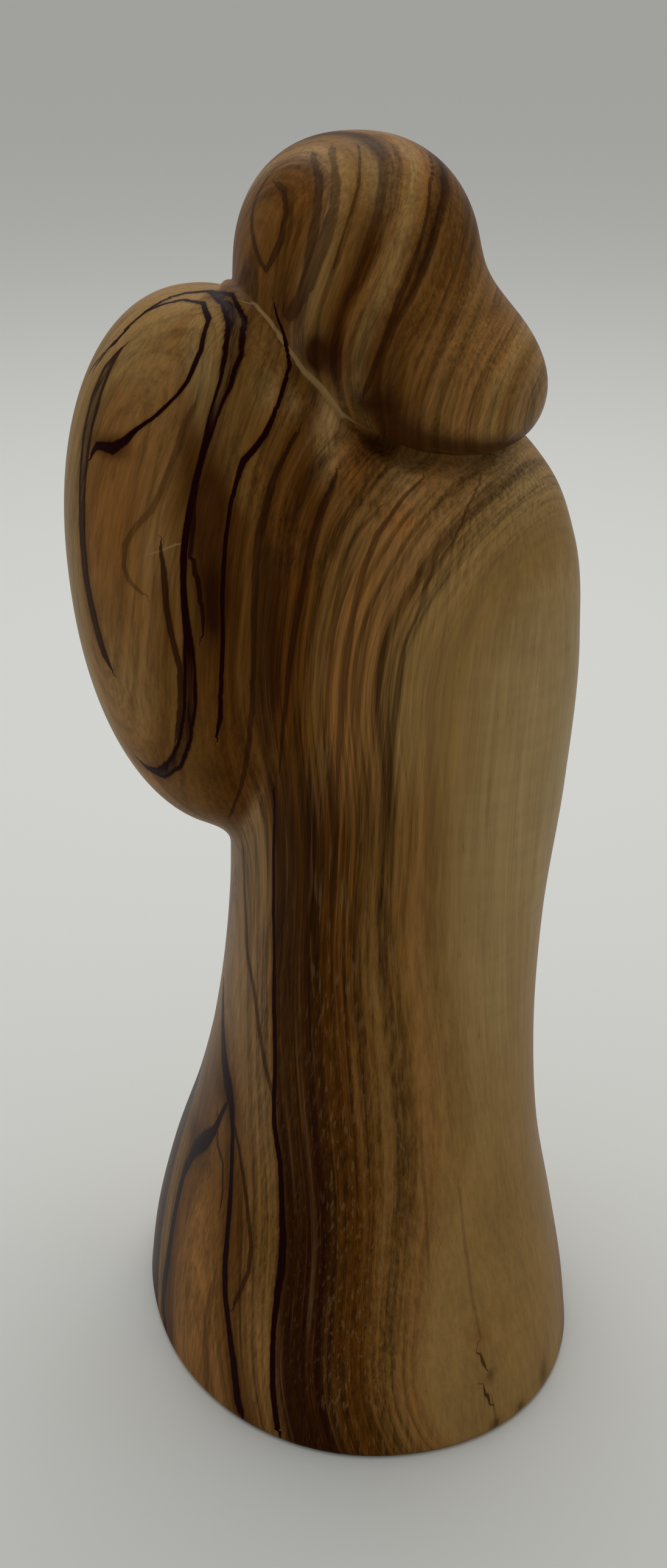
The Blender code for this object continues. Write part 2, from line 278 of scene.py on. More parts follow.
class Shape:
    """The carving as distances, from the user's sizes turned into carving units."""

    def __init__(self, sizes):
        self.unit = sizes.height / UNITS_HIGH
        self.foot_half = (sizes.foot_width / 2 / self.unit, sizes.foot_depth / 2 / self.unit)
        self.foot_edge = sizes.foot_edge / self.unit
        self.groove = sizes.groove / self.unit
        self.crest = sizes.crest / self.unit
        self.fold = sizes.fold / self.unit
        self.face_relief = sizes.face_relief / self.unit
        self.segments = sizes.segments
        self.rings = sizes.rings

    def robe(self, points):
        """Distance from the robe: an oval that runs up from the foot to the shoulders."""
        foot = (0.0, 0.0, 0.0) + self.foot_half
        middle_x, middle_y, half_width, half_depth = through(points[:, 2], (foot,) + ROBE_STATIONS).T
        below = np.clip(self.foot_edge - points[:, 2], 0, self.foot_edge)
        inset = self.foot_edge - np.sqrt(self.foot_edge**2 - below * below)
        x, y = points[:, 0] - middle_x, points[:, 1] - middle_y
        radii = np.column_stack([half_width - inset, half_depth - inset])
        side = oval(np.column_stack([x, y]), radii, ROBE_FULLNESS)
        return np.maximum(side, points[:, 2] - ROBE_STATIONS[-1][0])

    def draped(self, points, mass):
        """The robe with long shallow folds down its front, which die out at the sides and the hem."""
        around = np.arctan2(points[:, 0] - FOLDS_FROM_X, -points[:, 1])
        height = points[:, 2]
        shown = eased(np.abs(around), *FOLD_SIDES) * eased(height, *FOLD_FOOT) * eased(height, *FOLD_TOP)
        sway = FOLD_SWAY * np.sin(FOLD_SWAY_RATE * height)
        return mass + self.fold * shown * np.cos(FOLD_RATE * around + sway)

    def blank_face(self, points, mass, centre, half_width, half_height, nod, turn):
        """Sets a smooth blank oval back in the opening of a hood or veil, with a rounded rim around it."""
        local = turned(points, centre, 0.0, nod, turn)
        near = np.hypot(local[:, 0] / half_width, local[:, 2] / half_height)
        in_front = eased(-local[:, 1], 0, FACE_FADE)
        rim = RIM_HEIGHT * np.exp(-(((near - RIM_PLACE) / RELIEF_WIDTH) ** 2))
        gutter = GUTTER_DEPTH * np.exp(-(((near - 1) / RELIEF_WIDTH) ** 2))
        recess = eased(near, RIM_PLACE, 2 - RIM_PLACE)
        return mass + in_front * (gutter + recess - rim) * self.face_relief

    def body_and_head(self, points):
        """Distances from the two halves that meet at the neck: all below it, and the hood."""
        body = blend(self.draped(points, self.robe(points)), egg(points, **SHOULDER), SHOULDER_FILLET)
        body = blend(body, self.blank_face(points, egg(points, **VEIL), **VEIL_FACE), VEIL_FILLET)
        sleeves = np.minimum(egg(points, **TALL_SLEEVE), egg(points, **SMALL_SLEEVE))
        body = blend(body, sleeves, SLEEVE_FILLET)
        child = blend(egg(points, **CHILD_HEAD), egg(points, **CHILD_BUNDLE), CHILD_NECK_FILLET)
        hood = blend(egg(points, **DOME), egg(points, **NAPE), NAPE_FILLET)
        hood = blend(hood, egg(points, **SWELLING), SWELLING_FILLET)
        return blend(body, child, CHILD_FILLET), self.blank_face(points, hood, **HOOD_FACE)

    def veil_share(self, points):
        """How much nearer points are to the veil than to the robe and its shoulder."""
        robe = np.minimum(self.robe(points), egg(points, **SHOULDER))
        return robe - egg(points, **VEIL)

    def carving(self, points):
        """Distance from the whole carving, negative inside it."""
        body, head = self.body_and_head(points)
        x = points[:, 0]
        groove_radius = (self.groove + GROOVE_SOFTNESS) * eased(x, *GROOVE_RUNS) - GROOVE_SOFTNESS
        crest_radius = (self.crest + CREST_SOFTNESS) * eased(x, *CREST_RUNS) - CREST_SOFTNESS
        groove = np.hypot(head, body) - groove_radius
        crest = np.hypot(head - CREST_LIFT, body) - crest_radius
        joined = carve(blend(head, body, NECK_FILLET), groove, GROOVE_SOFTNESS)
        return blend(joined, crest, CREST_SOFTNESS)

    def reached(self, starts, ways):
        """How far along each ray the outermost skin is."""
        outside = np.full(len(starts), float(REACH))
        inside = np.zeros(len(starts))
        unfound = np.arange(len(starts))
        at = outside.copy()
        for _ in range(MARCH_STEPS):
            gap = self.carving(starts[unfound] + ways[unfound] * at[unfound, None])
            found = gap < 0
            inside[unfound[found]] = at[unfound[found]]
            unfound, gap = unfound[~found], gap[~found]
            outside[unfound] = at[unfound]
            at[unfound] -= np.maximum(gap * MARCH_SHARE, MARCH_LEAST)
            if len(unfound) == 0:
                break
        for _ in range(HALVINGS):
            middle = (inside + outside) / 2
            solid = self.carving(starts + ways * middle[:, None]) < 0
            inside = np.where(solid, middle, inside)
            outside = np.where(solid, outside, middle)
        return inside

    def rays(self, heights, upward):
        """The rays of each ring, from heights on the spine that may differ around the ring."""
        around = np.linspace(0, 2 * math.pi, self.segments, endpoint=False)
        flat = np.cos(upward)[:, None]
        across_x, across_y = flat * np.cos(around), flat * np.sin(around)
        leaning = eased(heights, LEAN_STARTS, LEAN_IS_FULL)
        rise = leaning * (SEAM_RISE_X * across_x - SEAM_RISE_FRONT * across_y)
        ways = np.stack([across_x, across_y, rise + np.sin(upward)[:, None]], axis=-1).reshape(-1, 3)
        level = heights.reshape(-1)
        return np.column_stack([through(level, SPINE), level]), ways

    def seam_heights(self):
        """Where on the spine the ray that meets the neck's seam starts, for each place around it."""
        levels = np.linspace(SEAM_ON_SPINE - SEAM_SEARCH, SEAM_ON_SPINE + SEAM_SEARCH, SEAM_SEARCH_RINGS)
        heights = np.repeat(levels[:, None], self.segments, axis=1)
        starts, ways = self.rays(heights, np.zeros(len(levels)))
        body, head = self.body_and_head(starts + ways * self.reached(starts, ways)[:, None])
        below = (body < head).reshape(len(levels), self.segments)
        seam = levels[0] + (levels[1] - levels[0]) * (below.sum(axis=0) - 0.5)
        for _ in range(SEAM_SMOOTHINGS):
            seam = (np.roll(seam, 1) + 2 * seam + np.roll(seam, -1)) / 4
        return seam

    def skin(self):
        """The skin's corners: one row for each ring, and the crown as a last single point."""
        levels = [0.0]
        for top, share in RING_ZONES:
            levels += list(np.linspace(levels[-1], top, round(share * self.rings) + 1)[1:])
        dome_rings = round(DOME_SHARE * self.rings)
        upward = [0.0] * len(levels) + [90 * step / (dome_rings + 1) for step in range(1, dome_rings + 1)]
        levels = np.array(levels + [levels[-1]] * dome_rings)
        near_seam = eased(levels, LEAN_STARTS, SEAM_ON_SPINE) * eased(levels, levels[-1], SEAM_ON_SPINE)
        heights = levels[:, None] + near_seam[:, None] * (self.seam_heights() - SEAM_ON_SPINE)
        starts, ways = self.rays(heights, np.radians(upward))
        starts = np.vstack([starts, starts[-1]])
        ways = np.vstack([ways, [[0.0, 0.0, 1.0]]])
        return starts + ways * self.reached(starts, ways)[:, None]


def skin_mesh(name, points, segments):
    """One closed body: quads between the rings, a fan at the crown and a flat face under the foot."""
    rings = (len(points) - 1) // segments
    place = np.arange(segments)
    beside = (place + 1) % segments
    start = np.arange(rings - 1)[:, None] * segments
    quads = [start + place, start + beside, start + beside + segments, start + place + segments]
    last = (rings - 1) * segments
    fan = np.column_stack([last + place, last + beside, np.full(segments, len(points) - 1)])
    under = [list(range(segments - 1, -1, -1))]
    mesh = bpy.data.meshes.new(name)
    mesh.from_pydata(points.tolist(), [], np.stack(quads, -1).reshape(-1, 4).tolist() + fan.tolist() + under)
    mesh.shade_smooth()
    mesh.set_sharp_from_angle(angle=math.radians(SHARP_FROM))
    return mesh


def place_in_log(points, head):
    """How far points are from the pith and how far round it, in carving units.

    The rings open out over the scarf where head, 1 on the hooded head and 0 elsewhere, says so.
    """
    across = points[:, :2] - through(points[:, 2], PITH)
    cos, sin = math.cos(PITH_TURN), math.sin(PITH_TURN)
    ring = np.hypot(cos * across[:, 0] + sin * across[:, 1],
                    RING_FLATNESS * (cos * across[:, 1] - sin * across[:, 0]))
    for x, y, z, bulge in BULGES:
        ring += bulge * np.exp(-np.sum((points - (x, y, z)) ** 2, axis=1) / BULGE_REACH**2)
    from_x, from_z, lean = SCARF_FROM
    past = np.maximum(from_x + lean * (points[:, 2] - from_z) - points[:, 0], 0)
    ring += SCARF_OPENING * past * head
    return ring, AROUND_SCALE * np.arctan2(-across[:, 1], -across[:, 0])


def straightened(points):
    """The points with the lean of the fibres taken out, so that every fibre runs along z."""
    lean = through(points[:, 2], FIBRE_LEAN)
    return np.column_stack([points[:, :2] - lean, points[:, 2]])


def vein_offset(points, line):
    """How far points lie to one side of a line drawn on the skin, and the line's half width beside them."""
    stations = np.array(line, float)
    corners, half_widths = stations[:, :3], stations[:, 3]
    best = np.full(len(points), np.inf)
    offset = np.zeros(len(points))
    half_width = np.ones(len(points))
    ways = np.diff(corners, axis=0)
    for place, way in enumerate(ways):
        start = corners[place]
        length = np.linalg.norm(way)
        way = way / length
        out = start + way * length / 2 - VEIN_MIDDLE
        out[2] = 0
        side = np.cross(way, out / np.linalg.norm(out))
        gap = points - start
        along = np.clip(gap @ way, 0, length)
        gap -= along[:, None] * way
        apart = np.linalg.norm(gap, axis=1)
        nearer = apart < best
        best = np.where(nearer, apart, best)
        offset = np.where(nearer, np.where(gap @ side < 0, -apart, apart), offset)
        here = half_widths[place] + (half_widths[place + 1] - half_widths[place]) * along / length
        half_width = np.where(nearer, here, half_width)
    return offset, half_width


def vein_set(points, veins):
    """The veins of one set as a vector at each point: side offset, strength and half width."""
    found = np.zeros((len(points), 3))
    found[:, 2] = 1
    nearest = np.full(len(points), np.inf)
    for strength, line in veins.values():
        offset, half_width = vein_offset(points, line)
        apart = np.abs(offset)
        fade = VEIN_FADE[0] * half_width + VEIN_FADE[1]
        nearer = apart < nearest
        nearest = np.where(nearer, apart, nearest)
        shown = strength * eased(apart, fade * VEIN_GONE, fade)
        found[nearer] = np.column_stack([offset, shown, half_width])[nearer]
    return found


def patch_tones(points):
    """How much darker, lighter and warmer the patches make each point."""
    tones = np.zeros((len(points), 3))
    for x, y, z, across, upward, *amounts in PATCHES:
        apart = (points - (x, y, z)) / (across, PATCH_DEPTH, upward)
        near = np.exp(-np.sum(apart * apart, axis=1))
        tones += near[:, None] * np.array(amounts)
    return np.clip(tones, -1, 1)


def add_attribute(mesh, name, values):
    """Stores one value, or one vector, at each point of a mesh, for its material to read."""
    kind = "FLOAT" if values.ndim == 1 else "FLOAT_VECTOR"
    attribute = mesh.attributes.new(name, kind, "POINT")
    attribute.data.foreach_set("value" if kind == "FLOAT" else "vector", values.astype(np.float32).ravel())


class Value:
    """A number or a vector in a material, on which plain arithmetic adds Math nodes."""

    def __init__(self, nodes, socket):
        self.nodes = nodes
        self.socket = socket

    def math(self, operation, *values):
        """Adds a Math node that takes the values given."""
        return self.nodes.add("ShaderNodeMath", {"operation": operation}, values)

    def larger(self, other):
        return self.math("MAXIMUM", self, other)

    def __abs__(self):
        return self.math("ABSOLUTE", self)

    def __add__(self, other):
        return self.math("ADD", self, other)

    def __radd__(self, other):
        return self.math("ADD", other, self)

    def __sub__(self, other):
        return self.math("SUBTRACT", self, other)

    def __rsub__(self, other):
        return self.math("SUBTRACT", other, self)

    def __mul__(self, other):
        return self.math("MULTIPLY", self, other)

    def __rmul__(self, other):
        return self.math("MULTIPLY", other, self)

    def __truediv__(self, other):
        return self.math("DIVIDE", self, other)


class Nodes:
    """Builds the nodes of one material."""

    def __init__(self, material):
        material.use_nodes = True
        self.tree = material.node_tree
        self.shader = self.tree.nodes["Principled BSDF"]

    def add(self, kind, settings=None, values=(), output=0):
        """Adds a node: settings are set first, then its sockets get values or links by place or by name."""
        node = self.tree.nodes.new(kind)
        for name, value in (settings or {}).items():
            if name == "stops":
                self.set_stops(node.color_ramp, value)
            else:
                setattr(node, name, value)
        pairs = values.items() if isinstance(values, dict) else enumerate(values)
        for place, value in pairs:
            self.join(node.inputs[place], value)
        return Value(self, node.outputs[output])

    def join(self, socket, value):
        if isinstance(value, Value):
            self.tree.links.new(value.socket, socket)
        else:
            socket.default_value = value

    def set_stops(self, ramp, stops):
        elements = ramp.elements
        while len(elements) < len(stops):
            elements.new(1.0)
        for element, (position, colour) in zip(elements, stops):
            element.position = position
            element.color = colour

    def attribute(self, name, output="Vector"):
        return self.add("ShaderNodeAttribute", {"attribute_name": name}, output=output)

    def parts(self, vector):
        """The three parts of a vector."""
        node = self.add("ShaderNodeSeparateXYZ", {}, (vector,)).socket.node
        return [Value(self, socket) for socket in node.outputs]

    def stretched(self, vector, factors):
        """A vector with each part multiplied by its own factor."""
        return self.add("ShaderNodeVectorMath", {"operation": "MULTIPLY"}, (vector, factors))

    def noise(self, vector, factors, detail, roughness):
        """Noise from 0 to 1, with its middle at 0.5, where factors say how fine it is along each axis."""
        stretched = self.stretched(vector, factors)
        values = {"Vector": stretched, "Scale": 1.0, "Detail": detail, "Roughness": roughness}
        return self.add("ShaderNodeTexNoise", {}, values)

    def band(self, value, low, high):
        """Goes smoothly from 0 at low to 1 at high."""
        settings = {"interpolation_type": "SMOOTHSTEP"}
        return self.add("ShaderNodeMapRange", settings, {"Value": value, "From Min": low, "From Max": high})

    def line(self, value, at, half_width, softness):
        """1 where the value is within the half width of the place given, falling to 0 past it."""
        return self.band(abs(value - at), half_width + softness, half_width)

    def mix(self, factor, first, second):
        """Mixes two colours: the first where the factor is 0 and the second where it is 1."""
        return self.add("ShaderNodeMix", {"data_type": "RGBA"}, {0: factor, 6: first, 7: second}, 2)


def linear(colour):
    """A display colour, three numbers from 0 to 255, as the linear colour of a shader, by the sRGB curve."""
    shares = [part / 255 for part in colour]
    return tuple(part / 12.92 if part <= 0.04045 else ((part + 0.055) / 1.055) ** 2.4 for part in shares)


# The rings' colours by distance from the pith in carving units, as (distance, name of a colour), on the
# foot, the robe, the shoulder, the veil and the head.
FOOT_RINGS = (
    (0, "orange"), (8.0, "orange"), (10.0, "brown"), (12.0, "umber"), (14.0, "umber"), (17.0, "honey"),
    (20.6, "honey"), (22.0, "deep"), (29.0, "deep"), (30.6, "dark"), (32.5, "umber"), (35.0, "umber"),
    (37.0, "brown"), (40.0, "honey"), (43.0, "fawn"), (45.5, "gold"), (52, "gold"),
)
ROBE_RINGS = (
    (0, "orange"), (10.6, "honey"), (12.0, "tan"), (20.2, "tan"), (21.4, "orange"), (22.2, "dark"),
    (27.5, "dark"), (29.0, "deep"), (30.2, "dark"), (31.6, "umber"), (34.0, "umber"), (36.0, "brown"),
    (38.6, "honey"), (41.0, "honey"), (42.8, "fawn"), (45.0, "gold"), (47.0, "sapwood"), (50.5, "pale"),
)
SHOULDER_RINGS = (
    (10, "gold"), (13.0, "gold"), (15.0, "honey"), (18.0, "honey"), (21.0, "brown"), (23.5, "umber"),
    (28.0, "umber"), (29.6, "brown"), (31.4, "honey"), (33.0, "orange"), (35.0, "orange"), (36.8, "fawn"),
    (38.6, "fawn"), (41.0, "gold"), (46.0, "gold"), (48.5, "sapwood"), (52, "pale"),
)
# On the veil's plain side all rings take the first colour, gold: plain wood with a painted sheen.
VEIL_RINGS = (
    (0, "gold"), (3.0, "fawn"), (11.0, "fawn"), (12.6, "brown"), (14.6, "honey"), (16.6, "brown"),
    (19.0, "umber"), (21.6, "brown"), (23.0, "dark"), (25.6, "deep"), (28.0, "umber"), (32.0, "honey"),
    (40.0, "orange"), (52, "gold"),
)
HEAD_RINGS = (
    (10, "umber"), (13.0, "umber"), (15.0, "brown"), (18.0, "brown"), (19.0, "brown"), (20.4, "tan"),
    (21.8, "gold"), (22.6, "honey"), (23.4, "honey"), (24.4, "umber"), (25.4, "umber"), (26.4, "orange"),
    (27.4, "gold"), (28.6, "orange"), (29.5, "umber"), (30.5, "brown"), (35.2, "brown"), (37.4, "fawn"),
    (39.0, "honey"), (42.0, "fawn"), (45.0, "fawn"), (47.4, "gold"), (49.0, "honey"), (52, "tan"),
)
RING_SPAN = 52.0
# In carving units: how wide the change is from body to head and from shoulder to veil, the y over which the
# veil's rings take over from the front, and the y over which the veil is plain, as the rings lie behind it,
# and painted gold as a sheen along its edge.
HEAD_BLEND = 0.6
VEIL_BLEND = 1.2
VEIL_FRONT = (-22.0, -8.0)
PLAIN_AND_SHEEN_FRONT = (8.0, 1.0)
# In carving units: how far the painted shade of the neck's seam reaches, and how far the painted shadow
# under the scarf does.
SEAM_SHADE = 1.3
SCARF_SHADOW_REACH = (13.0, 7.5)

# The ink lines along the rings: distance from the pith, half width, strength, and heights between which
# they show.
INK_LINES = (
    (14.6, 0.14, 0.5, (-9, 40)),
    (16.8, 0.13, 0.4, (-9, 50)),
    (23.4, 0.14, 0.35, (4, 60)),
    (26.2, 0.12, 0.35, (-9, 90)),
    (28.6, 0.14, 0.45, (-9, 70)),
    (31.2, 0.12, 0.45, (80, 156)),
    (32.8, 0.12, 0.35, (60, 150)),
    (34.6, 0.13, 0.35, (40, 156)),
    (36.8, 0.12, 0.30, (20, 150)),
    (15.2, 0.14, 0.35, (166, 220)),
    (17.7, 0.20, 0.30, (166, 220)),
    (30.0, 0.22, 0.55, (166, 220)),
    (33.6, 0.14, 0.40, (166, 220)),
    (24.8, 0.30, 0.45, (166, 220)),
)

# The veins that run their own way, by set: strength, then points on the skin as x, y, z and half width,
# all in carving units. Veins of one set keep clear of each other. The dark ones are ink, the light ones
# sapwood; the light ones on the crest and on the lip below the scarf are painted highlights.
DARK_VEINS = {
    "veins_one": {
        "inner line of the veil": (1.0, (
            (39.5, -6.3, 165.6, 0.19), (36, -2.9, 170.4, 0.24), (31.4, -3.2, 174.7, 0.24),
            (26.1, -2, 176.5, 0.24), (23.5, 1.5, 176.7, 0.3), (23.5, 7, 175.4, 0.42),
            (25.1, 9.8, 171.7, 0.42), (27.2, 10.2, 167.4, 0.3), (28.8, 10, 165.3, 0.22),
            (32, 9.7, 162.2, 0.24), (34.6, 9, 160.4, 0.3), (36.4, 8.4, 158.5, 0.55),
            (38.1, 7.2, 157.1, 0.7), (40, 4.4, 157, 0.5), (40.9, 3.6, 155.3, 0.25),
        )),
        "third line of the veil": (1.0, (
            (15, 13.4, 178.5, 0.15), (13.9, 15.5, 173.8, 0.22), (13.5, 17.2, 170.7, 0.28),
            (14.8, 18.7, 167.6, 0.25), (16.3, 19.8, 164.3, 0.28), (17.6, 20, 161.8, 0.38),
            (19.1, 19.4, 159.4, 0.38), (20.5, 18.3, 157.5, 0.42), (21.4, 17.3, 154.3, 0.3),
            (22.3, 16.8, 150.6, 0.26), (23, 17, 146.1, 0.26), (23.5, 17.6, 141.7, 0.28),
            (23.9, 17.9, 137.2, 0.28), (24, 18.2, 130.6, 0.28), (24.3, 17.9, 123.8, 0.26),
            (24.5, 17.1, 117.6, 0.29), (25, 16.3, 114.4, 0.14),
        )),
        "black line left of the foot": (1.0, (
            (22.5, -1, 61.8, 0.45), (23.2, 2.7, 56.9, 0.8), (23.7, 6.9, 52.4, 1.2),
            (23.6, 10.7, 49.4, 1.35), (23.5, 13.1, 47.3, 0.8), (23.7, 14.9, 44.4, 0.49),
            (24.1, 16.9, 39.8, 0.46), (24.8, 19.4, 34.4, 0.48), (25.8, 21.8, 29, 0.5),
            (26.7, 24.1, 23.6, 0.6), (27, 26.1, 19, 0.5), (26.9, 28.7, 14.8, 0.5), (26.6, 31.5, 9.5, 0.6),
            (26.4, 33.4, 3.6, 0.7), (26.1, 34.2, 2, 0.7),
        )),
        "long black line of the robe": (1.0, (
            (16.4, 16.5, 104.7, 0.18), (16.5, 16.1, 94.1, 0.24), (16.7, 16.4, 83.7, 0.3),
            (17.1, 18.6, 68.6, 0.36), (17.5, 21.1, 58.9, 0.36), (17.9, 22.2, 53.9, 0.4),
            (18.1, 23.6, 49.2, 0.42), (17.7, 26.3, 43.9, 0.42), (17.8, 28.4, 38.4, 0.46),
            (18.1, 30.6, 32.9, 0.52), (18.6, 32.3, 28.3, 0.6), (19.6, 33.6, 23.5, 0.5),
            (20.5, 35, 18.6, 0.42), (21.1, 36.6, 13.9, 0.42), (21.3, 38.4, 8, 0.46),
            (20.9, 39.9, 2.4, 0.46),
        )),
        "line beside the valley": (0.6, (
            (7.6, 21.1, 155.5, 0.23), (9.7, 21.9, 151.3, 0.46), (11, 21.7, 146.8, 0.54),
            (11.8, 20.9, 142, 0.46), (12.7, 20.2, 137.2, 0.46), (13.5, 19.8, 132.4, 0.38),
            (14.3, 19.5, 126.6, 0.38), (14.8, 19.2, 120.7, 0.3), (15.4, 18.4, 113.5, 0.23),
            (15.7, 17.6, 108.1, 0.11),
        )),
        "line inside the broad one": (0.8, (
            (32.4, 14.9, 144.2, 0.19), (32, 15.5, 140.6, 0.38), (31.9, 15.9, 135.1, 0.38),
            (31.2, 16.2, 130.4, 0.38), (30.2, 16.4, 125.6, 0.38), (30.2, 15.6, 119.5, 0.38),
            (30.8, 14.1, 113.9, 0.29),
        )),
        "sharp line of the scarf": (0.6, (
            (-9.1, 5.5, 197.1, 0.17), (-7.5, 12.2, 194.5, 0.23), (-6.6, 15.4, 191.3, 0.23),
            (-5.4, 17.3, 188.3, 0.23), (-4.2, 18.3, 185.6, 0.28), (-2.9, 19.3, 182.5, 0.34),
            (-1.4, 20.4, 180.2, 0.34), (0.3, 22.3, 176.4, 0.34), (2, 23.3, 172.5, 0.4),
            (3.3, 22.9, 169, 0.4), (3.8, 22.2, 167.3, 0.23),
        )),
        "second loop of the crown": (0.5, (
            (8, 6.3, 197.8, 0.38), (8.1, 11.8, 194.9, 0.57), (9.1, 14.5, 191.2, 0.57),
            (10, 15.9, 187.3, 0.67), (10.8, 16.5, 183.3, 0.67), (11.9, 16.5, 179.9, 0.76),
            (13.1, 15.9, 177.7, 0.85),
        )),
    },
    "veins_two": {
        "lower pit at the back of the foot": (0.75, (
            (-12, 43.7, 8.9, 0.1), (-12.6, 44, 7.4, 0.3), (-13.3, 44.2, 5.6, 0.15),
        )),
        "broad line of the veil": (1.0, (
            (38.7, -4.4, 166.9, 0.19), (34.7, -2.8, 171.9, 0.19), (30, -3.4, 175.5, 0.24),
            (25.3, -4, 177, 0.29), (21.9, -2.7, 177.4, 0.47), (20.4, 5.9, 177.7, 1.14),
            (20.1, 11.2, 175.7, 1.43), (21.1, 14.4, 172.1, 1.43), (22.5, 15.5, 168.1, 1.14),
            (24.3, 14.9, 163.2, 0.8), (25.6, 14.5, 158.7, 0.45), (27, 14.8, 153.9, 0.42),
            (28.2, 15.6, 149.2, 0.42), (29.1, 16.2, 144.4, 0.42), (29.5, 16.6, 139.9, 0.4),
            (29.4, 16.9, 135.3, 0.45), (29, 17.1, 130.6, 0.55), (28.9, 17, 125.7, 0.85),
            (28.9, 16.2, 119.6, 0.95), (29.6, 14.6, 113.5, 0.95), (30.7, 12.3, 108.9, 1.04),
            (32.7, 8.9, 105.8, 0.95), (34.6, 6.7, 105.8, 0.47), (35.7, 5.7, 106.8, 0.19),
        )),
        "fourth line of the veil": (0.6, (
            (13.4, 20.6, 161.5, 0.29), (16.1, 20.6, 156.7, 0.38), (17.2, 19.4, 152, 0.47),
            (18.2, 18.3, 147.1, 0.47), (18.9, 18, 141.5, 0.43), (19.3, 18.2, 135.1, 0.38),
            (19.5, 18.3, 127.5, 0.33), (19.7, 17.7, 119.5, 0.33), (20.2, 16.4, 112, 0.33),
            (20.9, 13.9, 104.9, 0.29), (22.2, 9.4, 97.8, 0.19),
        )),
        "thin line into the long one": (0.6, (
            (19.9, 7.3, 90.8, 0.29), (19.9, 7.8, 83, 0.38), (20, 9.9, 74.2, 0.47), (19.5, 13.7, 68.4, 0.38),
            (19.2, 16.8, 62.2, 0.38), (18.7, 19.7, 57.1, 0.38), (18, 22.1, 53.9, 0.38),
        )),
        "bow beside the foot line": (0.7, (
            (23.4, 15.4, 44.6, 0.29), (23.1, 18.3, 41.7, 0.29), (22.9, 21.3, 37.8, 0.38),
            (22.7, 24.7, 33, 0.33), (22.7, 27.2, 28.8, 0.38), (23.5, 28.4, 25, 0.38),
            (24.8, 28.3, 21.5, 0.38), (26, 28.1, 18.5, 0.29),
        )),
        "line left of the panel": (1.0, (
            (23.9, 11.4, 46.6, 0.4), (25, 10.2, 43, 0.6), (26, 9.4, 40.2, 0.8), (27.1, 7, 37.1, 1.5),
            (28.8, 3.1, 32.7, 1.28), (30.4, 2.4, 28.1, 0.9), (31.8, 3.5, 23.4, 0.9),
            (33.1, 4.7, 18.2, 1.03), (34.1, 6, 12.9, 1.15), (34.9, 6.2, 8, 1.15), (35.4, 7, 3.6, 1.03),
            (35.3, 9.9, 1.2, 0.63),
        )),
        "second line of the shoulder": (0.55, (
            (-4.5, 22.1, 154.2, 0.15), (-2, 23.1, 152.4, 0.23), (0.4, 24.1, 149.7, 0.3),
            (2.4, 24.4, 147.2, 0.38), (4, 24.5, 142.7, 0.38), (5, 24.5, 139.5, 0.38),
            (5.8, 24.6, 135.4, 0.38), (6.5, 24.5, 130.7, 0.46), (7.1, 24.3, 125, 0.46),
            (7.5, 24.3, 119.2, 0.38), (7.8, 24.2, 113.3, 0.3), (8.1, 24.1, 106.3, 0.15),
        )),
        "first loop of the crown": (0.6, (
            (13.3, 6.5, 194, 0.38), (12.5, 8.9, 193.6, 0.38), (12.9, 11.5, 190.8, 0.38),
            (13.8, 12.6, 187.3, 0.47), (14.9, 12, 184.7, 0.47), (15.7, 11.3, 182.9, 0.29),
            (16.5, 9.4, 184.2, 0.38), (16.9, 7, 186.8, 0.38), (16.6, 4.5, 189.3, 0.38),
            (15.5, 2.9, 192, 0.38), (13.8, 2.4, 194.4, 0.29),
        )),
        "thin line of the scarf": (0.5, (
            (1.7, 6.7, 199.1, 0.14), (2.1, 10.6, 197.4, 0.19), (3, 13.9, 194.7, 0.19),
            (4.5, 16, 191.7, 0.19), (6, 17.3, 188.3, 0.14), (7.4, 18, 184.3, 0.14),
        )),
    },
    "veins_three": {
        "edge band of the veil": (0.9, (
            (35.4, -0.4, 170.1, 0.19), (37.8, -0.5, 166.9, 0.95), (39.5, 0.1, 163.3, 1.33),
            (40.9, 1, 159, 1.24), (41.9, 2.1, 153.9, 1.04), (42.6, 3.2, 147.7, 0.85),
            (42.7, 4, 141.3, 0.76), (42.6, 4.6, 136.7, 0.76), (42, 5.5, 132.2, 0.76),
            (41.3, 6.3, 128.5, 0.76), (40.5, 7.1, 125.3, 0.67), (39.7, 8, 123.3, 0.19),
        )),
        "thin line of the shoulder": (0.4, (
            (2, 23.4, 150.6, 0.23), (4.7, 23.6, 148, 0.23), (6.5, 23.5, 144.8, 0.3),
            (7.3, 23.3, 140.7, 0.23), (8, 23.3, 136.1, 0.3), (8.7, 23.3, 130.4, 0.3),
            (9.1, 23.2, 124.7, 0.23), (9.5, 23.1, 116.9, 0.15),
        )),
        "third line of the shoulder": (0.4, (
            (-13.8, 20.8, 153.8, 0.15), (-10.8, 24.2, 150, 0.15), (-8.7, 25.8, 146, 0.23),
            (-5.9, 26.4, 142.7, 0.23), (-4.5, 26.7, 140.1, 0.23), (-3.6, 27, 136.6, 0.19),
            (-1.4, 27, 131.1, 0.23), (-0.6, 27, 124.5, 0.3), (0.2, 27, 117.8, 0.38), (0.6, 27, 111.9, 0.3),
            (0.7, 27.1, 104, 0.15),
        )),
        "fan of the veil": (0.4, (
            (26.7, 12.2, 164.1, 0.29), (28.1, 12.1, 161.7, 0.38), (29.4, 12.8, 158, 0.38),
            (30.8, 13.3, 155, 0.33), (32.2, 13.6, 151.6, 0.33), (33.6, 13.4, 149.1, 0.38),
            (35.8, 12.5, 146.6, 0.38), (37.2, 11.7, 143.9, 0.38), (37.6, 11.7, 140.7, 0.29),
            (36.9, 12.4, 138.5, 0.29), (35.3, 13.8, 137, 0.19),
        )),
        "line between the broad one and the third": (0.85, (
            (27.2, 15.6, 152.4, 0.1), (27.7, 15.9, 148, 0.3), (27.9, 16.3, 143.5, 0.35),
            (27.5, 16.9, 140.3, 0.35), (27.1, 17.3, 137.4, 0.3), (26.8, 17.5, 134, 0.25),
            (26.9, 17.5, 130.8, 0.1),
        )),
        "crack in the foot": (0.7, (
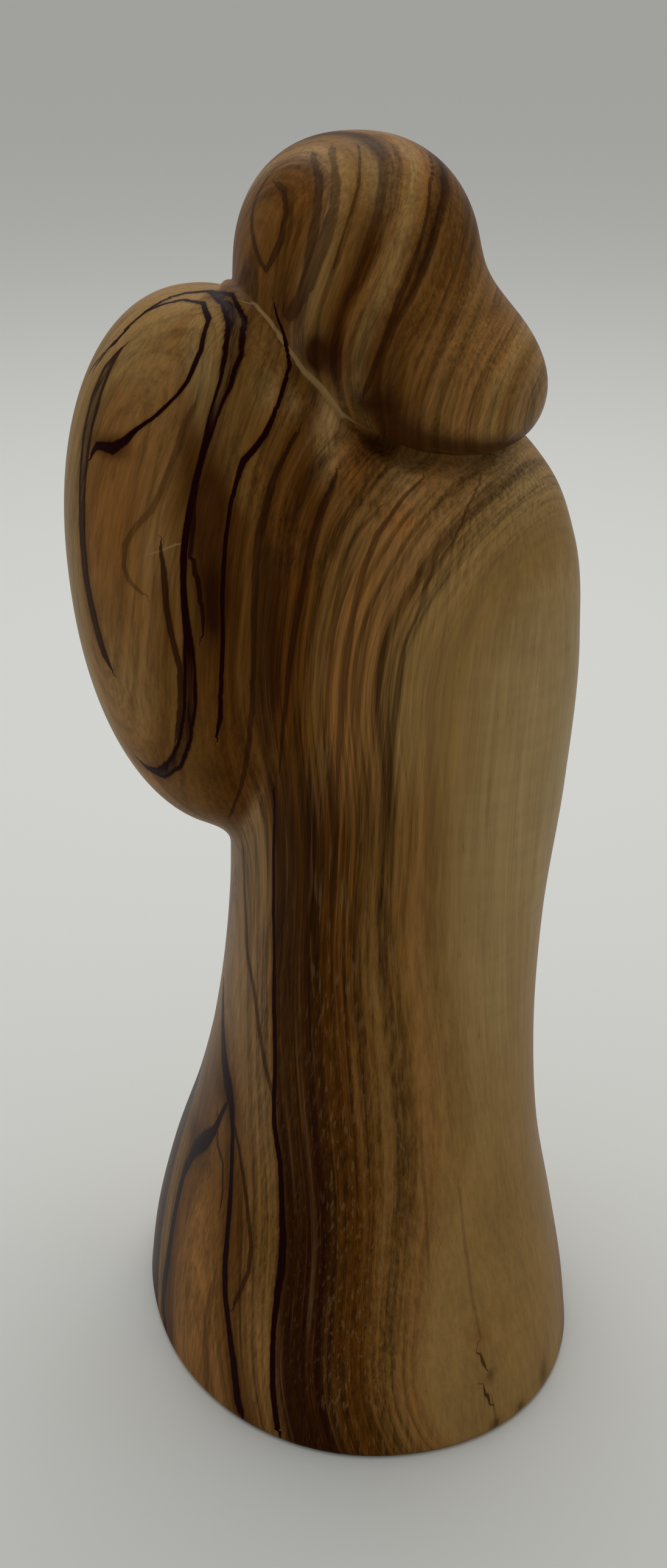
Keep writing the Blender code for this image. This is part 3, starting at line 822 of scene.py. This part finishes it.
            (25.3, 8.9, 43.2, 0.19), (25.8, 11.9, 39.2, 0.29), (25.4, 15, 37.6, 0.19),
            (25.9, 17.6, 33.4, 0.19), (26.5, 18.4, 31, 0.14),
        )),
        "third loop of the crown": (0.5, (
            (5.4, 6.6, 198.6, 0.47), (6, 12.8, 195, 0.57), (6.8, 15.3, 191.7, 0.57),
            (8.2, 16.5, 188.2, 0.85), (9.6, 16.8, 185, 0.76), (10.6, 17, 181.7, 0.67),
        )),
        "streak in the panel": (0.35, (
            (28.6, 22.8, 19.3, 0.57), (29.6, 23.8, 14, 0.85), (30.4, 25.2, 7.7, 0.85),
            (30.6, 26.7, 1.4, 0.57),
        )),
        "first line of the sapwood": (0.2, (
            (-3.5, 33.3, 52.6, 0.19), (-3.9, 35.9, 41.8, 0.24), (-3.9, 38.6, 32, 0.19),
            (-3.8, 40.1, 27.2, 0.14),
        )),
        "second line of the sapwood": (0.2, (
            (-9.8, 34.9, 41.4, 0.14), (-10.4, 37.4, 31.4, 0.24), (-11.3, 39.9, 22.4, 0.24),
            (-12.2, 41.7, 16.5, 0.19),
        )),
        "upper pit at the back of the foot": (0.7, (
            (-12, 42.9, 14.4, 0.1), (-12.3, 43.1, 13.2, 0.3), (-12.8, 43.3, 11.8, 0.1),
        )),
        "scratch in the foot": (0.3, (
            (-13.6, 43.9, 6.6, 0.1), (-14.1, 44.2, 4.4, 0.2), (-14.4, 44.3, 2.4, 0.1),
        )),
    },
}
# Light veins in sapwood colour, and painted highlights along the crest's bead and on the lip below the
# scarf.
LIGHT_VEINS_AND_HIGHLIGHTS = {
    "veins_light": {
        # painted highlight along the crest's bead
        "crest": (0.75, (
            (20.1, 3.8, 178.5, 0.16), (17.2, 10.3, 178, 0.22), (15.5, 13.4, 176, 0.24),
            (13.8, 16, 173, 0.24), (11.5, 17.7, 169.8, 0.32), (9, 18.1, 167.2, 0.42),
            (6.3, 17.9, 163.5, 0.42), (4.6, 18.4, 162.5, 0.25),
        )),
        "scratch on the veil": (0.6, (
            (34.2, 14.1, 142.9, 0.06), (32.6, 14.9, 143.6, 0.12), (31.2, 15.4, 144.4, 0.12),
            (30.1, 15.8, 144.9, 0.15),
        )),
        # painted highlight on the lit lip below the scarf
        "lip under the scarf": (0.5, (
            (-6.4, 23, 159, 0.19), (-10.6, 22.5, 158.1, 0.29), (-14.9, 21.3, 157.8, 0.29),
            (-17.2, 22.8, 159.8, 0.29), (-18.4, 23.2, 161.4, 0.19),
        )),
        "crack left of the panel": (0.4, (
            (33.5, 3.4, 16.7, 0.19), (34.1, 5, 13.4, 0.24), (34.8, 6.7, 9, 0.19),
        )),
    },
}

# Patches: x, y, z, reach across and reach upward in carving units, and how much darker, lighter and warmer
# the colour is there. Most are the wood's own figure; the others are painted shade and painted highlights.
# From the back to the front, each reaches PATCH_DEPTH.
PATCH_DEPTH = 9.0
PATCHES = (
    (38.2, 6.9, 157.3, 2.9, 1.6, 0.9, 0, 0),  # blot under the veil edge
    (25.2, 17.0, 145.4, 2.9, 14.8, 1.5, 0, 0.3),  # dark wood between the lines
    (25.0, 17.7, 137.6, 1.6, 5.5, 1.0, 0, -0.3),  # dark wood between the lines, deepest
    (28, 14.1, 155.5, 1.2, 12.1, 0.35, 0, 0),  # band beside the broad line
    (10, 18.9, 172.6, 1.4, 2.4, 0.85, 0, 0),  # painted shade under the head's edge, above the crest
    (14.5, 19.4, 141.7, 1.9, 14.3, 0.45, 0, 0.3),  # painted shade in the valley, partly dark wood
    (8.0, 19.1, 160.8, 2.1, 5.5, -0.3, 1.0, 0.3),  # painted highlight where the crest ends, partly paler wood
    (33, 4, 169.4, 5, 5, 0, 0.4, 0.1),  # veil top
    (37.5, 10.9, 120, 4.5, 9, 0, 0.4, 0),  # veil bottom
    (38.4, 9, 148, 4.6, 11, 0.2, 0, 0.7),  # veil middle
    (-21, 17, 153, 8.5, 6.5, -0.3, 0.8, 0),  # painted highlight on the shoulder
    (-4, 25, 149, 9, 7, 0, 0.25, 0.25),  # middle of the shoulder
    (5.7, 20.5, 156.6, 2.9, 4.2, 0.4, 0, 1),  # red patch
    (-1.3, 24.8, 148.7, 1.9, 2.2, 0.4, 0, 1),  # red patch
    (-2.3, 22, 154.1, 1.7, 2.6, 0, 0.5, 0.3),  # gold patch
    (16.9, 18.6, 167.7, 1.7, 2.6, 0, 0.35, 0),  # veil light
    (13.4, 19.3, 165.8, 1.1, 1.8, 0, 0.35, 0),  # veil light
    (32.9, 14.8, 142.8, 3, 6.8, 0, 0.3, 0),  # fan inside
    (30.2, 18.3, 19.9, 3.6, 20.9, 0, 0.15, 0.55),  # orange panel
    (23.4, 33.4, 15.4, 2.5, 13.2, 0, 0.25, 0.4),  # tan strip
    (11.6, 13.8, 189.5, 5.7, 12.1, 0.2, 0, 0.3),  # head brown
    (-0.1, 12.6, 196, 2.7, 6, 0, 0.5, -0.8),  # grey sheen
    (24.1, 10.6, 47.6, 1.3, 3.1, 0.8, 0, 0),  # foot blot
    (8.6, 19.8, 171.9, 4, 4.4, 0.8, 0, 0),  # painted shade in the neck hollow
    (2.5, 22.3, 165.8, 4.5, 2.6, 0.9, 0, 0),  # painted shade in the neck hollow, lower
    (32.8, 15.4, 138.5, 1.2, 3.4, 0.45, 0, 0.2),  # dark inside the fan
    (25.4, 14.1, 107.4, 3.5, 2.5, 0.3, 0, 0),  # foot of the veil
    (17, 18.5, 137, 1.3, 12, 0.35, 0, 0),  # painted shade at the valley's edge, partly dark wood
    (13, 15.8, 178.5, 2.5, 3.1, 0.5, 0, 0),  # painted shade in the crown hollow
    (25.3, 11, 169.8, 1.3, 2.4, 0, 0.55, -0.2),  # painted highlight on the veil, partly a worn pale spot
    (28.2, 2.2, 34.5, 2.4, 2.4, 0.8, 0, 0),  # foot blot left
    (-13.5, 43.4, 10.2, 0.9, 1.2, 0.6, 0, 0),  # pit between the two
    (-12.3, 42.8, 16.5, 1.6, 2.2, 0.2, 0, 0.6),  # red smudge above the pits
    (-14.4, 44.3, 1.4, 0.9, 1.1, 0.8, 0, 0),  # chip in the rim
    (-19.5, 40.9, 1.4, 0.9, 1.0, 0.7, 0, 0),  # chip in the rim
    (-25, 35.4, 3, 0.9, 2.4, 0.6, 0, 0),  # chip in the rim
)

# The noises of the wood: what each follows, how fine it is along each axis, its detail and its roughness.
# The log gives the way out from the pith, the way round it and the height. The fibres run along their
# third axis.
NOISES = {
    "broad": ("fibre", (0.05, 0.05, 0.016), 2.0, 0.5),
    "wavy": ("fibre", (0.22, 0.22, 0.030), 3.0, 0.5),
    "threads": ("log", (2.1, 0.07, 0.007), 2.0, 0.5),
    "bands": ("log", (0.24, 0.03, 0.010), 2.0, 0.5),
    "fibres": ("fibre", (1.5, 1.5, 0.034), 4.0, 0.7),
    "flecks": ("fibre", (1.9, 1.9, 0.06), 2.0, 0.5),
    "pores": ("fibre", (4.2, 4.2, 0.22), 2.0, 0.5),
    "cloud": ("fibre", (0.10, 0.10, 0.05), 3.0, 0.5),
    "ripples": ("fibre", (0.10, 0.10, 0.55), 2.0, 0.5),
    "ring streaks": ("log", (0.85, 0.05, 0.008), 4.0, 0.68),
    "fibre streaks": ("fibre", (0.45, 0.45, 0.009), 4.0, 0.68),
}

# In carving units: how far the noises push the rings and their colours, how far the heights where one set
# of rings gives way to the next sway, and those heights.
RING_SWAY = 0.9
RING_JITTER = 2.2
ZONE_SWAY = 14.0
ROBE_FROM = (34, 64)
SHOULDER_FROM = (100, 118)
# The distances from the pith over which the outermost wood, the wood near the pith and the heartwood set
# in.
OUTERMOST = (44, 48)
NEAR_PITH = (24, 14)
HEARTWOOD = (46, 39)
# How much of the heartwood's figure is missing on the veil, near the pith and on the head, and how much
# of it the head keeps at least.
LESS_ON_VEIL = 0.35
LESS_NEAR_PITH = 0.5
LESS_ON_HEAD = 0.3
LEAST_ON_HEAD = 0.7

# How far the fibres show in the dark patches, and how far the warm patches go to amber.
PATCH_FIBRES = 0.35
PATCH_WARMTH = 0.5
# The shading: over which values a noise goes from dark to light, and how strong it is. Streaks and fibres
# have one strength in the heartwood and one outside it, and ripples one in the outermost wood and one
# elsewhere.
STREAK_VALUES = (0.34, 0.66)
BAND_VALUES = (0.3, 0.7)
FIBRE_VALUES = (0.30, 0.70)
STREAK_SHADE = 0.66
BAND_SHADE = 0.25
STREAK_SHARES = (1.0, 0.18)
FIBRE_SHADES = (0.70, 0.20)
CLOUD_SHADE = 0.35
RIPPLE_SHADES = (0.21, 0.05)
# The marks in the heartwood: over which values of a noise they set in, and how strong they are.
LIGHT_STREAKS = ((0.52, 0.70), 0.34)
DARK_STREAKS = ((0.49, 0.33), 0.34)
DARK_THREADS = ((0.58, 0.68), 0.30)
FLECK_VALUES = (0.56, 0.68)
FLECKS_FROM = (27, 32)
FLECK_SHARES = (0.34, 0.08)
PORE_VALUES = (0.66, 0.76)
PORE_SHARE = 0.30

# The ink: how ragged its edges are, how far the ends of the lines sway and fade, how soft the lines along
# the rings are, and over which values of the bands they break off.
FEATHER = 0.7
RING_FEATHER = 0.2
INK_SWAY = 40.0
INK_ENDS = 8
INK_SOFTNESS = 0.26
INK_BREAKS = (0.35, 0.55)
# The veins, in half widths: how far they waver, where their colour fades and where their rim runs, with
# its half width and softness. Broad ones are hollow between their rims, where these widths, streaks and
# heights say so.
VEIN_SWAY = 0.5
VEIN_FILLED = (1.7, 0.75)
VEIN_RIM = (0.85, 0.2, 0.35)
HOLLOW_WIDTHS = (0.6, 1.1)
HOLLOW_STREAKS = (0.62, 0.42)
HOLLOW_FROM = (50, 90)
HOLLOW_SHARE = 0.6
BESIDE_VEIN = (3.4, 1.0)
BESIDE_SHARE = 0.35

# How much of the painted shade in the seams and under the scarf shows by itself, and how much with the
# fibres.
SEAM_SHADE_SHARES = (0.7, 0.3)
# How much rougher fibres and pores are, how high fibres and streaks stand, how deep pores lie, and the
# scale of that relief in metres.
FIBRE_ROUGHNESS = 0.12
PORE_ROUGHNESS = 0.12
FIBRE_RELIEF = 0.6
STREAK_RELIEF = 0.6
PORE_RELIEF = 0.8
RELIEF_SCALE = 0.0001


def largest(values):
    """The largest of several values in a material."""
    return functools.reduce(Value.larger, values)


def between(mask, inside, outside):
    """Goes from the outside strength, where the mask is 0, to the inside one, where it is 1."""
    return mask * (inside - outside) + outside


class OliveWood:
    """The figured wood."""

    def __init__(self, colours):
        self.colours = {name: tuple(getattr(colours, name)) + (1,) for name in colours.__annotations__}
        self.material = bpy.data.materials.new("olive_wood_figured")
        self.nodes = nodes = Nodes(self.material)
        places = {name: nodes.attribute(name) for name in ("log", "fibre")}
        noise = {name: nodes.noise(places[along], *how) for name, (along, *how) in NOISES.items()}
        self.noise = noise
        ring, _around, self.height = nodes.parts(places["log"])
        self.head, self.veil, self.plain = nodes.parts(nodes.attribute("zones"))
        self.darker, self.lighter, self.warmer = nodes.parts(nodes.attribute("tones"))

        self.broad, self.wavy = noise["broad"] - 0.5, noise["wavy"] - 0.5
        self.fibres = noise["fibres"] - 0.5
        self.ring = ring + self.broad * RING_SWAY + self.wavy * RING_SWAY
        self.outermost = nodes.band(self.ring, *OUTERMOST) * (1 - self.veil) * (1 - self.head)
        self.streaks = noise["ring streaks"] * (1 - self.outermost) + noise["fibre streaks"] * self.outermost
        self.pores = nodes.band(noise["pores"], *PORE_VALUES)
        self.feather = self.fibres * FEATHER

        near_pith = nodes.band(self.ring, *NEAR_PITH) * (1 - self.head)
        in_heart = nodes.band(self.ring, *HEARTWOOD) * (1 - self.veil * LESS_ON_VEIL)
        in_heart = in_heart * (1 - near_pith * LESS_NEAR_PITH) * (1 - self.head * LESS_ON_HEAD)
        self.in_heart = in_heart.larger(self.head * LEAST_ON_HEAD)

    def tinted(self, colour, name, factor):
        """The colour, going to the named one as the factor goes to 1."""
        return self.nodes.mix(factor, colour, self.colours[name])

    def centred(self, noise, values):
        """Goes from -0.5 to 0.5 over those values of a noise."""
        return self.nodes.band(noise, *values) - 0.5

    def ring_colour(self, stops, stretch=1.0):
        """The colours of one set of rings, which all take the first colour where stretch is 0."""
        listed = [(place / RING_SPAN, self.colours[name]) for place, name in stops]
        jittered = self.ring * stretch + (self.streaks - 0.5) * RING_JITTER
        return self.nodes.add("ShaderNodeValToRGB", {"stops": listed}, (jittered / RING_SPAN,))

    def ringed(self):
        """The colour of the rings on the foot, the robe, the shoulder, the veil and the head."""
        height = self.height + self.broad * ZONE_SWAY
        on_robe = self.nodes.band(height, *ROBE_FROM)
        on_shoulder = self.nodes.band(height, *SHOULDER_FROM)
        colour = self.nodes.mix(on_robe, self.ring_colour(FOOT_RINGS), self.ring_colour(ROBE_RINGS))
        colour = self.nodes.mix(on_shoulder, colour, self.ring_colour(SHOULDER_RINGS))
        # The veil's plain side takes gold, a painted sheen along its edge.
        colour = self.nodes.mix(self.veil, colour, self.ring_colour(VEIL_RINGS, 1 - self.plain))
        return self.nodes.mix(self.head, colour, self.ring_colour(HEAD_RINGS))

    def patched(self, colour):
        """The colour with its darker, lighter and warmer patches, some of them painted shade and highlights.
        """
        colour = self.tinted(colour, "deep", self.darker + self.fibres * PATCH_FIBRES * self.darker)
        colour = self.tinted(colour, "sapwood", self.lighter)
        return self.tinted(colour, "amber", self.warmer * PATCH_WARMTH)

    def shaded(self, colour):
        """The colour with streaks, bands, fibres, clouds and ripples of shade."""
        streaked = self.centred(self.streaks, STREAK_VALUES) * STREAK_SHADE
        streaked = streaked + self.centred(self.noise["bands"], BAND_VALUES) * BAND_SHADE
        streaked = streaked * between(self.in_heart, *STREAK_SHARES)
        grained = self.centred(self.noise["fibres"], FIBRE_VALUES) * between(self.in_heart, *FIBRE_SHADES)
        rippled = (self.noise["ripples"] - 0.5) * between(self.outermost, *RIPPLE_SHADES)
        clouded = (self.noise["cloud"] - 0.5) * CLOUD_SHADE + rippled
        values = {"Vector": colour, "Scale": 1 + streaked + grained + clouded}
        return self.nodes.add("ShaderNodeVectorMath", {"operation": "SCALE"}, values)

    def mark(self, noise, values, share):
        """How much a mark shows that sets in over those values of a noise, in the heartwood."""
        return self.nodes.band(noise, *values) * self.in_heart * share

    def marked(self, colour):
        """The colour with the heartwood's light and dark streaks, its threads and its flecks."""
        light = self.mark(self.streaks, *LIGHT_STREAKS) * (1 - self.darker)
        colour = self.tinted(colour, "tan", light)
        colour = self.tinted(colour, "deep", self.mark(self.streaks, *DARK_STREAKS))
        colour = self.tinted(colour, "deep", self.mark(self.noise["threads"], *DARK_THREADS))
        share = between(self.nodes.band(self.ring, *FLECKS_FROM), *FLECK_SHARES)
        flecked = self.mark(self.noise["flecks"], FLECK_VALUES, share)
        return self.tinted(colour, "tan", flecked * (1 - self.darker))

    def ring_ink(self):
        """How much of the ink lines along the rings shows."""
        height = self.height + self.wavy * INK_SWAY
        ring = self.ring + self.feather * RING_FEATHER
        lines = []
        for at, half_width, strength, (low, high) in INK_LINES:
            above_start = self.nodes.band(height, low, low + INK_ENDS)
            below_end = self.nodes.band(height, high, high - INK_ENDS)
            line = self.nodes.line(ring, at, half_width, INK_SOFTNESS)
            lines.append(line * (above_start * below_end) * strength)
        return largest(lines) * self.nodes.band(self.noise["bands"], *INK_BREAKS) * (1 - self.veil)

    def across(self, name):
        """How far across the nearest vein of a set points lie, and that vein's strength and half width."""
        offset, strength, half_width = self.nodes.parts(self.nodes.attribute(name))
        return abs(offset + self.wavy * VEIN_SWAY) / half_width + self.feather, strength, half_width

    def filled(self, share, strength):
        """How much of the veins' colour shows, where they are solid."""
        return self.nodes.band(share, *VEIN_FILLED) * strength

    def dark_veins(self, name):
        """The ink of one set of veins, hollow where they are broad, and the shade beside it."""
        share, strength, half_width = self.across(name)
        hollow = self.nodes.band(half_width, *HOLLOW_WIDTHS) * self.nodes.band(self.streaks, *HOLLOW_STREAKS)
        hollow = hollow * self.nodes.band(self.height, *HOLLOW_FROM) * HOLLOW_SHARE
        rim = self.nodes.line(share, *VEIN_RIM) * strength
        ink = rim.larger(self.filled(share, strength) * (1 - hollow))
        return ink, self.nodes.band(share, *BESIDE_VEIN) * strength * BESIDE_SHARE

    def light_veins(self, name):
        """How much of one set of light veins and painted highlights shows."""
        share, strength, _half_width = self.across(name)
        return self.filled(share, strength)

    def veined(self, colour):
        """The colour with the veins, the painted highlights on the crest and lip, and the ink lines."""
        inks, shades = zip(*(self.dark_veins(name) for name in DARK_VEINS))
        colour = self.tinted(colour, "umber", largest(shades))
        colour = self.tinted(colour, "sapwood", largest(self.light_veins(name) for name in LIGHT_VEINS_AND_HIGHLIGHTS))
        return self.tinted(colour, "ink", largest((self.ring_ink(),) + inks))

    def sunk(self, colour):
        """The colour with its pores and the painted shade of the neck's seam and under the scarf."""
        by_itself, by_fibres = SEAM_SHADE_SHARES
        painted_seam_shade = self.nodes.attribute("seam", "Fac") * (self.noise["fibres"] * by_fibres + by_itself)
        return self.tinted(self.tinted(colour, "deep", self.pores * PORE_SHARE), "deep", painted_seam_shade)

    def waxed(self, finish):
        """The finished material, waxed to a satin gloss."""
        nodes = self.nodes
        colour = self.ringed()
        for step in (self.patched, self.shaded, self.marked, self.veined, self.sunk):
            colour = step(colour)
        rough = finish.roughness + self.fibres * FIBRE_ROUGHNESS + self.pores * PORE_ROUGHNESS
        relief = self.noise["fibres"] * FIBRE_RELIEF + self.streaks * STREAK_RELIEF
        relief = relief - self.pores * PORE_RELIEF
        bump = {"Strength": finish.grain_bump, "Distance": RELIEF_SCALE, "Height": relief}
        inputs = nodes.shader.inputs
        nodes.join(inputs["Base Color"], colour)
        nodes.join(inputs["Roughness"], rough)
        nodes.join(inputs["Normal"], nodes.add("ShaderNodeBump", {}, bump))
        inputs["Specular IOR Level"].default_value = finish.gloss
        return self.material


# The stage: how rough and glossy the table is, the tint of the light from all sides, how far beyond the
# group's middle the soft light is aimed, the longer side of the film in millimetres, and the nearest that
# is seen.
TABLE_ROUGHNESS = 0.7
TABLE_GLOSS = 0.2
FILL_COLOUR = (1.0, 1.0, 0.98, 1)
LIGHT_AIM = 0.12
FILM_SIZE = 36
NEAREST_SEEN = 0.01


def colour_property(name, description, colour):
    return bpy.props.FloatVectorProperty(
        name=name, description=description, subtype="COLOR", size=3, min=0, max=1, default=linear(colour)
    )


def length_property(name, description, default):
    return bpy.props.FloatProperty(name=name, description=description, default=default, unit="LENGTH")


def share_property(name, description, default):
    return bpy.props.FloatProperty(
        name=name, description=description, default=default, min=0, max=1, subtype="FACTOR"
    )


def angle_property(name, description, degrees):
    return bpy.props.FloatProperty(
        name=name, description=description, default=math.radians(degrees), subtype="ANGLE"
    )


class CarvingSizes(bpy.types.PropertyGroup):
    """The sizes of the carving."""

    height: length_property("Height", "From the table to the crown", CROWN_HEIGHT)
    foot_width: length_property("Foot width", "Across the oval foot", 0.0722)
    foot_depth: length_property("Foot depth", "From the front of the foot to its back", 0.0964)
    foot_edge: length_property("Foot edge", "Radius of the foot's lower edge", 0.0012)
    groove: length_property("Neck groove", "Radius of the groove under the scarf", 0.0019)
    crest: length_property("Crest", "Radius of the bead between veil and hood", 0.0010)
    fold: length_property("Folds", "Depth of the folds down the front", 0.0012)
    face_relief: length_property("Face relief", "How far the blank faces are set back", 0.0013)
    segments: bpy.props.IntProperty(name="Segments", description="Faces around the skin", default=FINENESS)
    rings: bpy.props.IntProperty(name="Rings", description="Rows of faces up the skin", default=FINENESS)


class WoodColours(bpy.types.PropertyGroup):
    """The colours of the wood, from its pale outside to its ink lines."""

    pale: colour_property("Pale", "The palest wood, outermost in the log", (168, 142, 97))
    sapwood: colour_property("Sapwood", "The pale outside of the log", (157, 128, 82))
    gold: colour_property("Gold", "Warm bands next to the sapwood", (146, 113, 64))
    tan: colour_property("Tan", "Light rings low on the robe", (134, 103, 67))
    orange: colour_property("Orange", "The plain wood near the pith", (131, 89, 42))
    fawn: colour_property("Fawn", "Plain wood with less red in it", (134, 94, 48))
    honey: colour_property("Honey", "Light streaks between the brown rings", (117, 82, 37))
    brown: colour_property("Brown", "Middle brown rings", (104, 67, 23))
    umber: colour_property("Umber", "Darker brown rings", (83, 47, 5))
    dark: colour_property("Dark", "The broad dark band", (66, 36, 4))
    deep: colour_property("Deep", "The darkest rings and the pores", (48, 20, 0))
    ink: colour_property("Ink", "The black lines", (26, 0, 0))
    amber: colour_property("Amber", "What the reddish patches turn to", (153, 96, 39))


class WaxFinish(bpy.types.PropertyGroup):
    """How the surface is finished."""

    roughness: share_property("Roughness", "Of the satin wax", 0.36)
    gloss: share_property("Gloss", "Strength of the wax's reflections", 0.03)
    grain_bump: share_property("Grain", "How much the grain is felt", 0.25)


class StageSettings(bpy.types.PropertyGroup):
    """The table, the light and the camera."""

    floor: colour_property("Table", "The matt pale table", (226, 227, 223))
    floor_size: length_property("Table size", "Side of the square table", 10.0)
    overhead_power: bpy.props.FloatProperty(
        name="Overhead light", description="Watts of the soft light above", default=2.0, min=0
    )
    overhead_size: length_property("Overhead size", "Side of the soft light above", 0.6)
    overhead_behind: length_property("Overhead place", "How far beyond the group the soft light hangs", 0.30)
    overhead_height: length_property("Overhead height", "How high the soft light hangs", 0.62)
    fill: bpy.props.FloatProperty(
        name="Fill light", description="Strength of the light from all sides", default=0.46, min=0
    )
    azimuth: angle_property("Camera azimuth", "Round the group from its front", 169)
    pitch: angle_property("Camera pitch", "How far the camera looks down", 24)
    distance: length_property("Camera distance", "Along the table from the foot's centre", 0.334)
    camera_height: length_property("Camera height", "Above the table", 0.246)
    aside: length_property("Camera aside", "To the left of the foot's centre", 0.0038)
    lens: bpy.props.FloatProperty(
        name="Lens", description="Focal length for a frame 36 mm high", default=51.7, min=1
    )


class CARVING_OT_group(bpy.types.Operator):
    """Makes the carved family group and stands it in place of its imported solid"""

    bl_idname = "carving.group"
    bl_label = "Carve the group"

    def execute(self, context):
        scene = context.scene
        shape = Shape(scene.carving_sizes)
        points = shape.skin()
        mesh = skin_mesh("family_group", points * shape.unit, shape.segments)
        body, head = shape.body_and_head(points)
        on_head = eased(body - head, -HEAD_BLEND, HEAD_BLEND)
        add_attribute(mesh, "log", np.column_stack([*place_in_log(points, on_head), points[:, 2]]))
        add_attribute(mesh, "fibre", straightened(points))
        veil = eased(shape.veil_share(points), -VEIL_BLEND, VEIL_BLEND) * eased(points[:, 1], *VEIL_FRONT)
        # The plain side of the veil, which is painted gold as a sheen along its edge.
        plain = veil * eased(points[:, 1], *PLAIN_AND_SHEEN_FRONT)
        add_attribute(mesh, "zones", np.column_stack([on_head, veil, plain]))
        add_attribute(mesh, "tones", patch_tones(points))
        for name, veins in (DARK_VEINS | LIGHT_VEINS_AND_HIGHLIGHTS).items():
            add_attribute(mesh, name, vein_set(points, veins))
        # Painted shade: a dark band along the neck's groove and a painted shadow on the scarf's underside.
        scarf_shadow = eased(body, *SCARF_SHADOW_REACH) * on_head
        seam = np.maximum(np.exp(-((np.hypot(head, body) / SEAM_SHADE) ** 2)), scarf_shadow)
        add_attribute(mesh, "seam", seam * eased(points[:, 0], *GROOVE_RUNS))
        mesh.materials.append(OliveWood(scene.wood_colours).waxed(scene.wax_finish))
        piece = bpy.data.objects.new("family_group", mesh)
        scene.collection.objects.link(piece)
        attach(piece, "root")
        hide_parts(NODE)
        return {"FINISHED"}


class CARVING_OT_stage(bpy.types.Operator):
    """Makes the pale table, the soft light and the camera"""

    bl_idname = "carving.stage"
    bl_label = "Set the stage"

    def execute(self, context):
        scene = context.scene
        stage = scene.carving_stage
        scene.view_settings.view_transform = "Standard"
        half = stage.floor_size / 2
        corners = [(-half, -half, 0), (half, -half, 0), (half, half, 0), (-half, half, 0)]
        mesh = bpy.data.meshes.new("table_top")
        mesh.from_pydata(corners, [], [(0, 1, 2, 3)])
        material = bpy.data.materials.new("table_paper")
        nodes = Nodes(material)
        nodes.shader.inputs["Base Color"].default_value = tuple(stage.floor) + (1,)
        nodes.shader.inputs["Roughness"].default_value = TABLE_ROUGHNESS
        nodes.shader.inputs["Specular IOR Level"].default_value = TABLE_GLOSS
        mesh.materials.append(material)
        table = bpy.data.objects.new("table_top", mesh)
        scene.collection.objects.link(table)

        away = Vector((-math.sin(stage.azimuth), math.cos(stage.azimuth), 0))
        right = Vector((away.y, -away.x, 0))
        world = bpy.data.worlds.new("soft_room")
        world.use_nodes = True
        world.node_tree.nodes["Background"].inputs["Color"].default_value = FILL_COLOUR
        world.node_tree.nodes["Background"].inputs["Strength"].default_value = stage.fill
        scene.world = world
        light = bpy.data.lights.new("overhead_light", "AREA")
        light.energy = stage.overhead_power
        light.size = stage.overhead_size
        lamp = bpy.data.objects.new("overhead_light", light)
        lamp.location = away * stage.overhead_behind + Vector((0, 0, stage.overhead_height))
        lamp.rotation_euler = (away * LIGHT_AIM - lamp.location).to_track_quat("-Z", "Y").to_euler()
        scene.collection.objects.link(lamp)

        look = away * math.cos(stage.pitch) - Vector((0, 0, math.sin(stage.pitch)))
        lens = bpy.data.cameras.new("camera")
        lens.sensor_width = FILM_SIZE
        lens.lens = stage.lens
        lens.clip_start = NEAREST_SEEN
        camera = bpy.data.objects.new("camera", lens)
        camera.location = -away * stage.distance - right * stage.aside + Vector((0, 0, stage.camera_height))
        camera.rotation_euler = look.to_track_quat("-Z", "Y").to_euler()
        scene.collection.objects.link(camera)
        scene.camera = camera
        return {"FINISHED"}


class CARVING_PT_panel(bpy.types.Panel):
    """Lists the sizes, the colours and the steps of the carving"""

    bl_idname = "CARVING_PT_panel"
    bl_label = "Olive wood family group"
    bl_space_type = "VIEW_3D"
    bl_region_type = "UI"
    bl_category = "Carving"

    def draw(self, context):
        scene = context.scene
        for title, group in (
            ("Sizes", scene.carving_sizes),
            ("Wood", scene.wood_colours),
            ("Finish", scene.wax_finish),
            ("Stage", scene.carving_stage),
        ):
            box = self.layout.box()
            box.label(text=title)
            for name in group.__annotations__:
                box.prop(group, name)
        self.layout.operator("carving.group")
        self.layout.operator("carving.stage")


CLASSES = (
    CarvingSizes, WoodColours, WaxFinish, StageSettings, CARVING_OT_group, CARVING_OT_stage, CARVING_PT_panel
)
GROUPS = (
    ("carving_sizes", CarvingSizes),
    ("wood_colours", WoodColours),
    ("wax_finish", WaxFinish),
    ("carving_stage", StageSettings),
)


def register():
    for cls in CLASSES:
        bpy.utils.register_class(cls)
    for name, group in GROUPS:
        setattr(bpy.types.Scene, name, bpy.props.PointerProperty(type=group))


def unregister():
    for name, _group in GROUPS:
        delattr(bpy.types.Scene, name)
    for cls in reversed(CLASSES):
        bpy.utils.unregister_class(cls)


def main():
    register()
    bpy.ops.carving.stage()
    bpy.ops.carving.group()


if __name__ == "__main__":
    main()
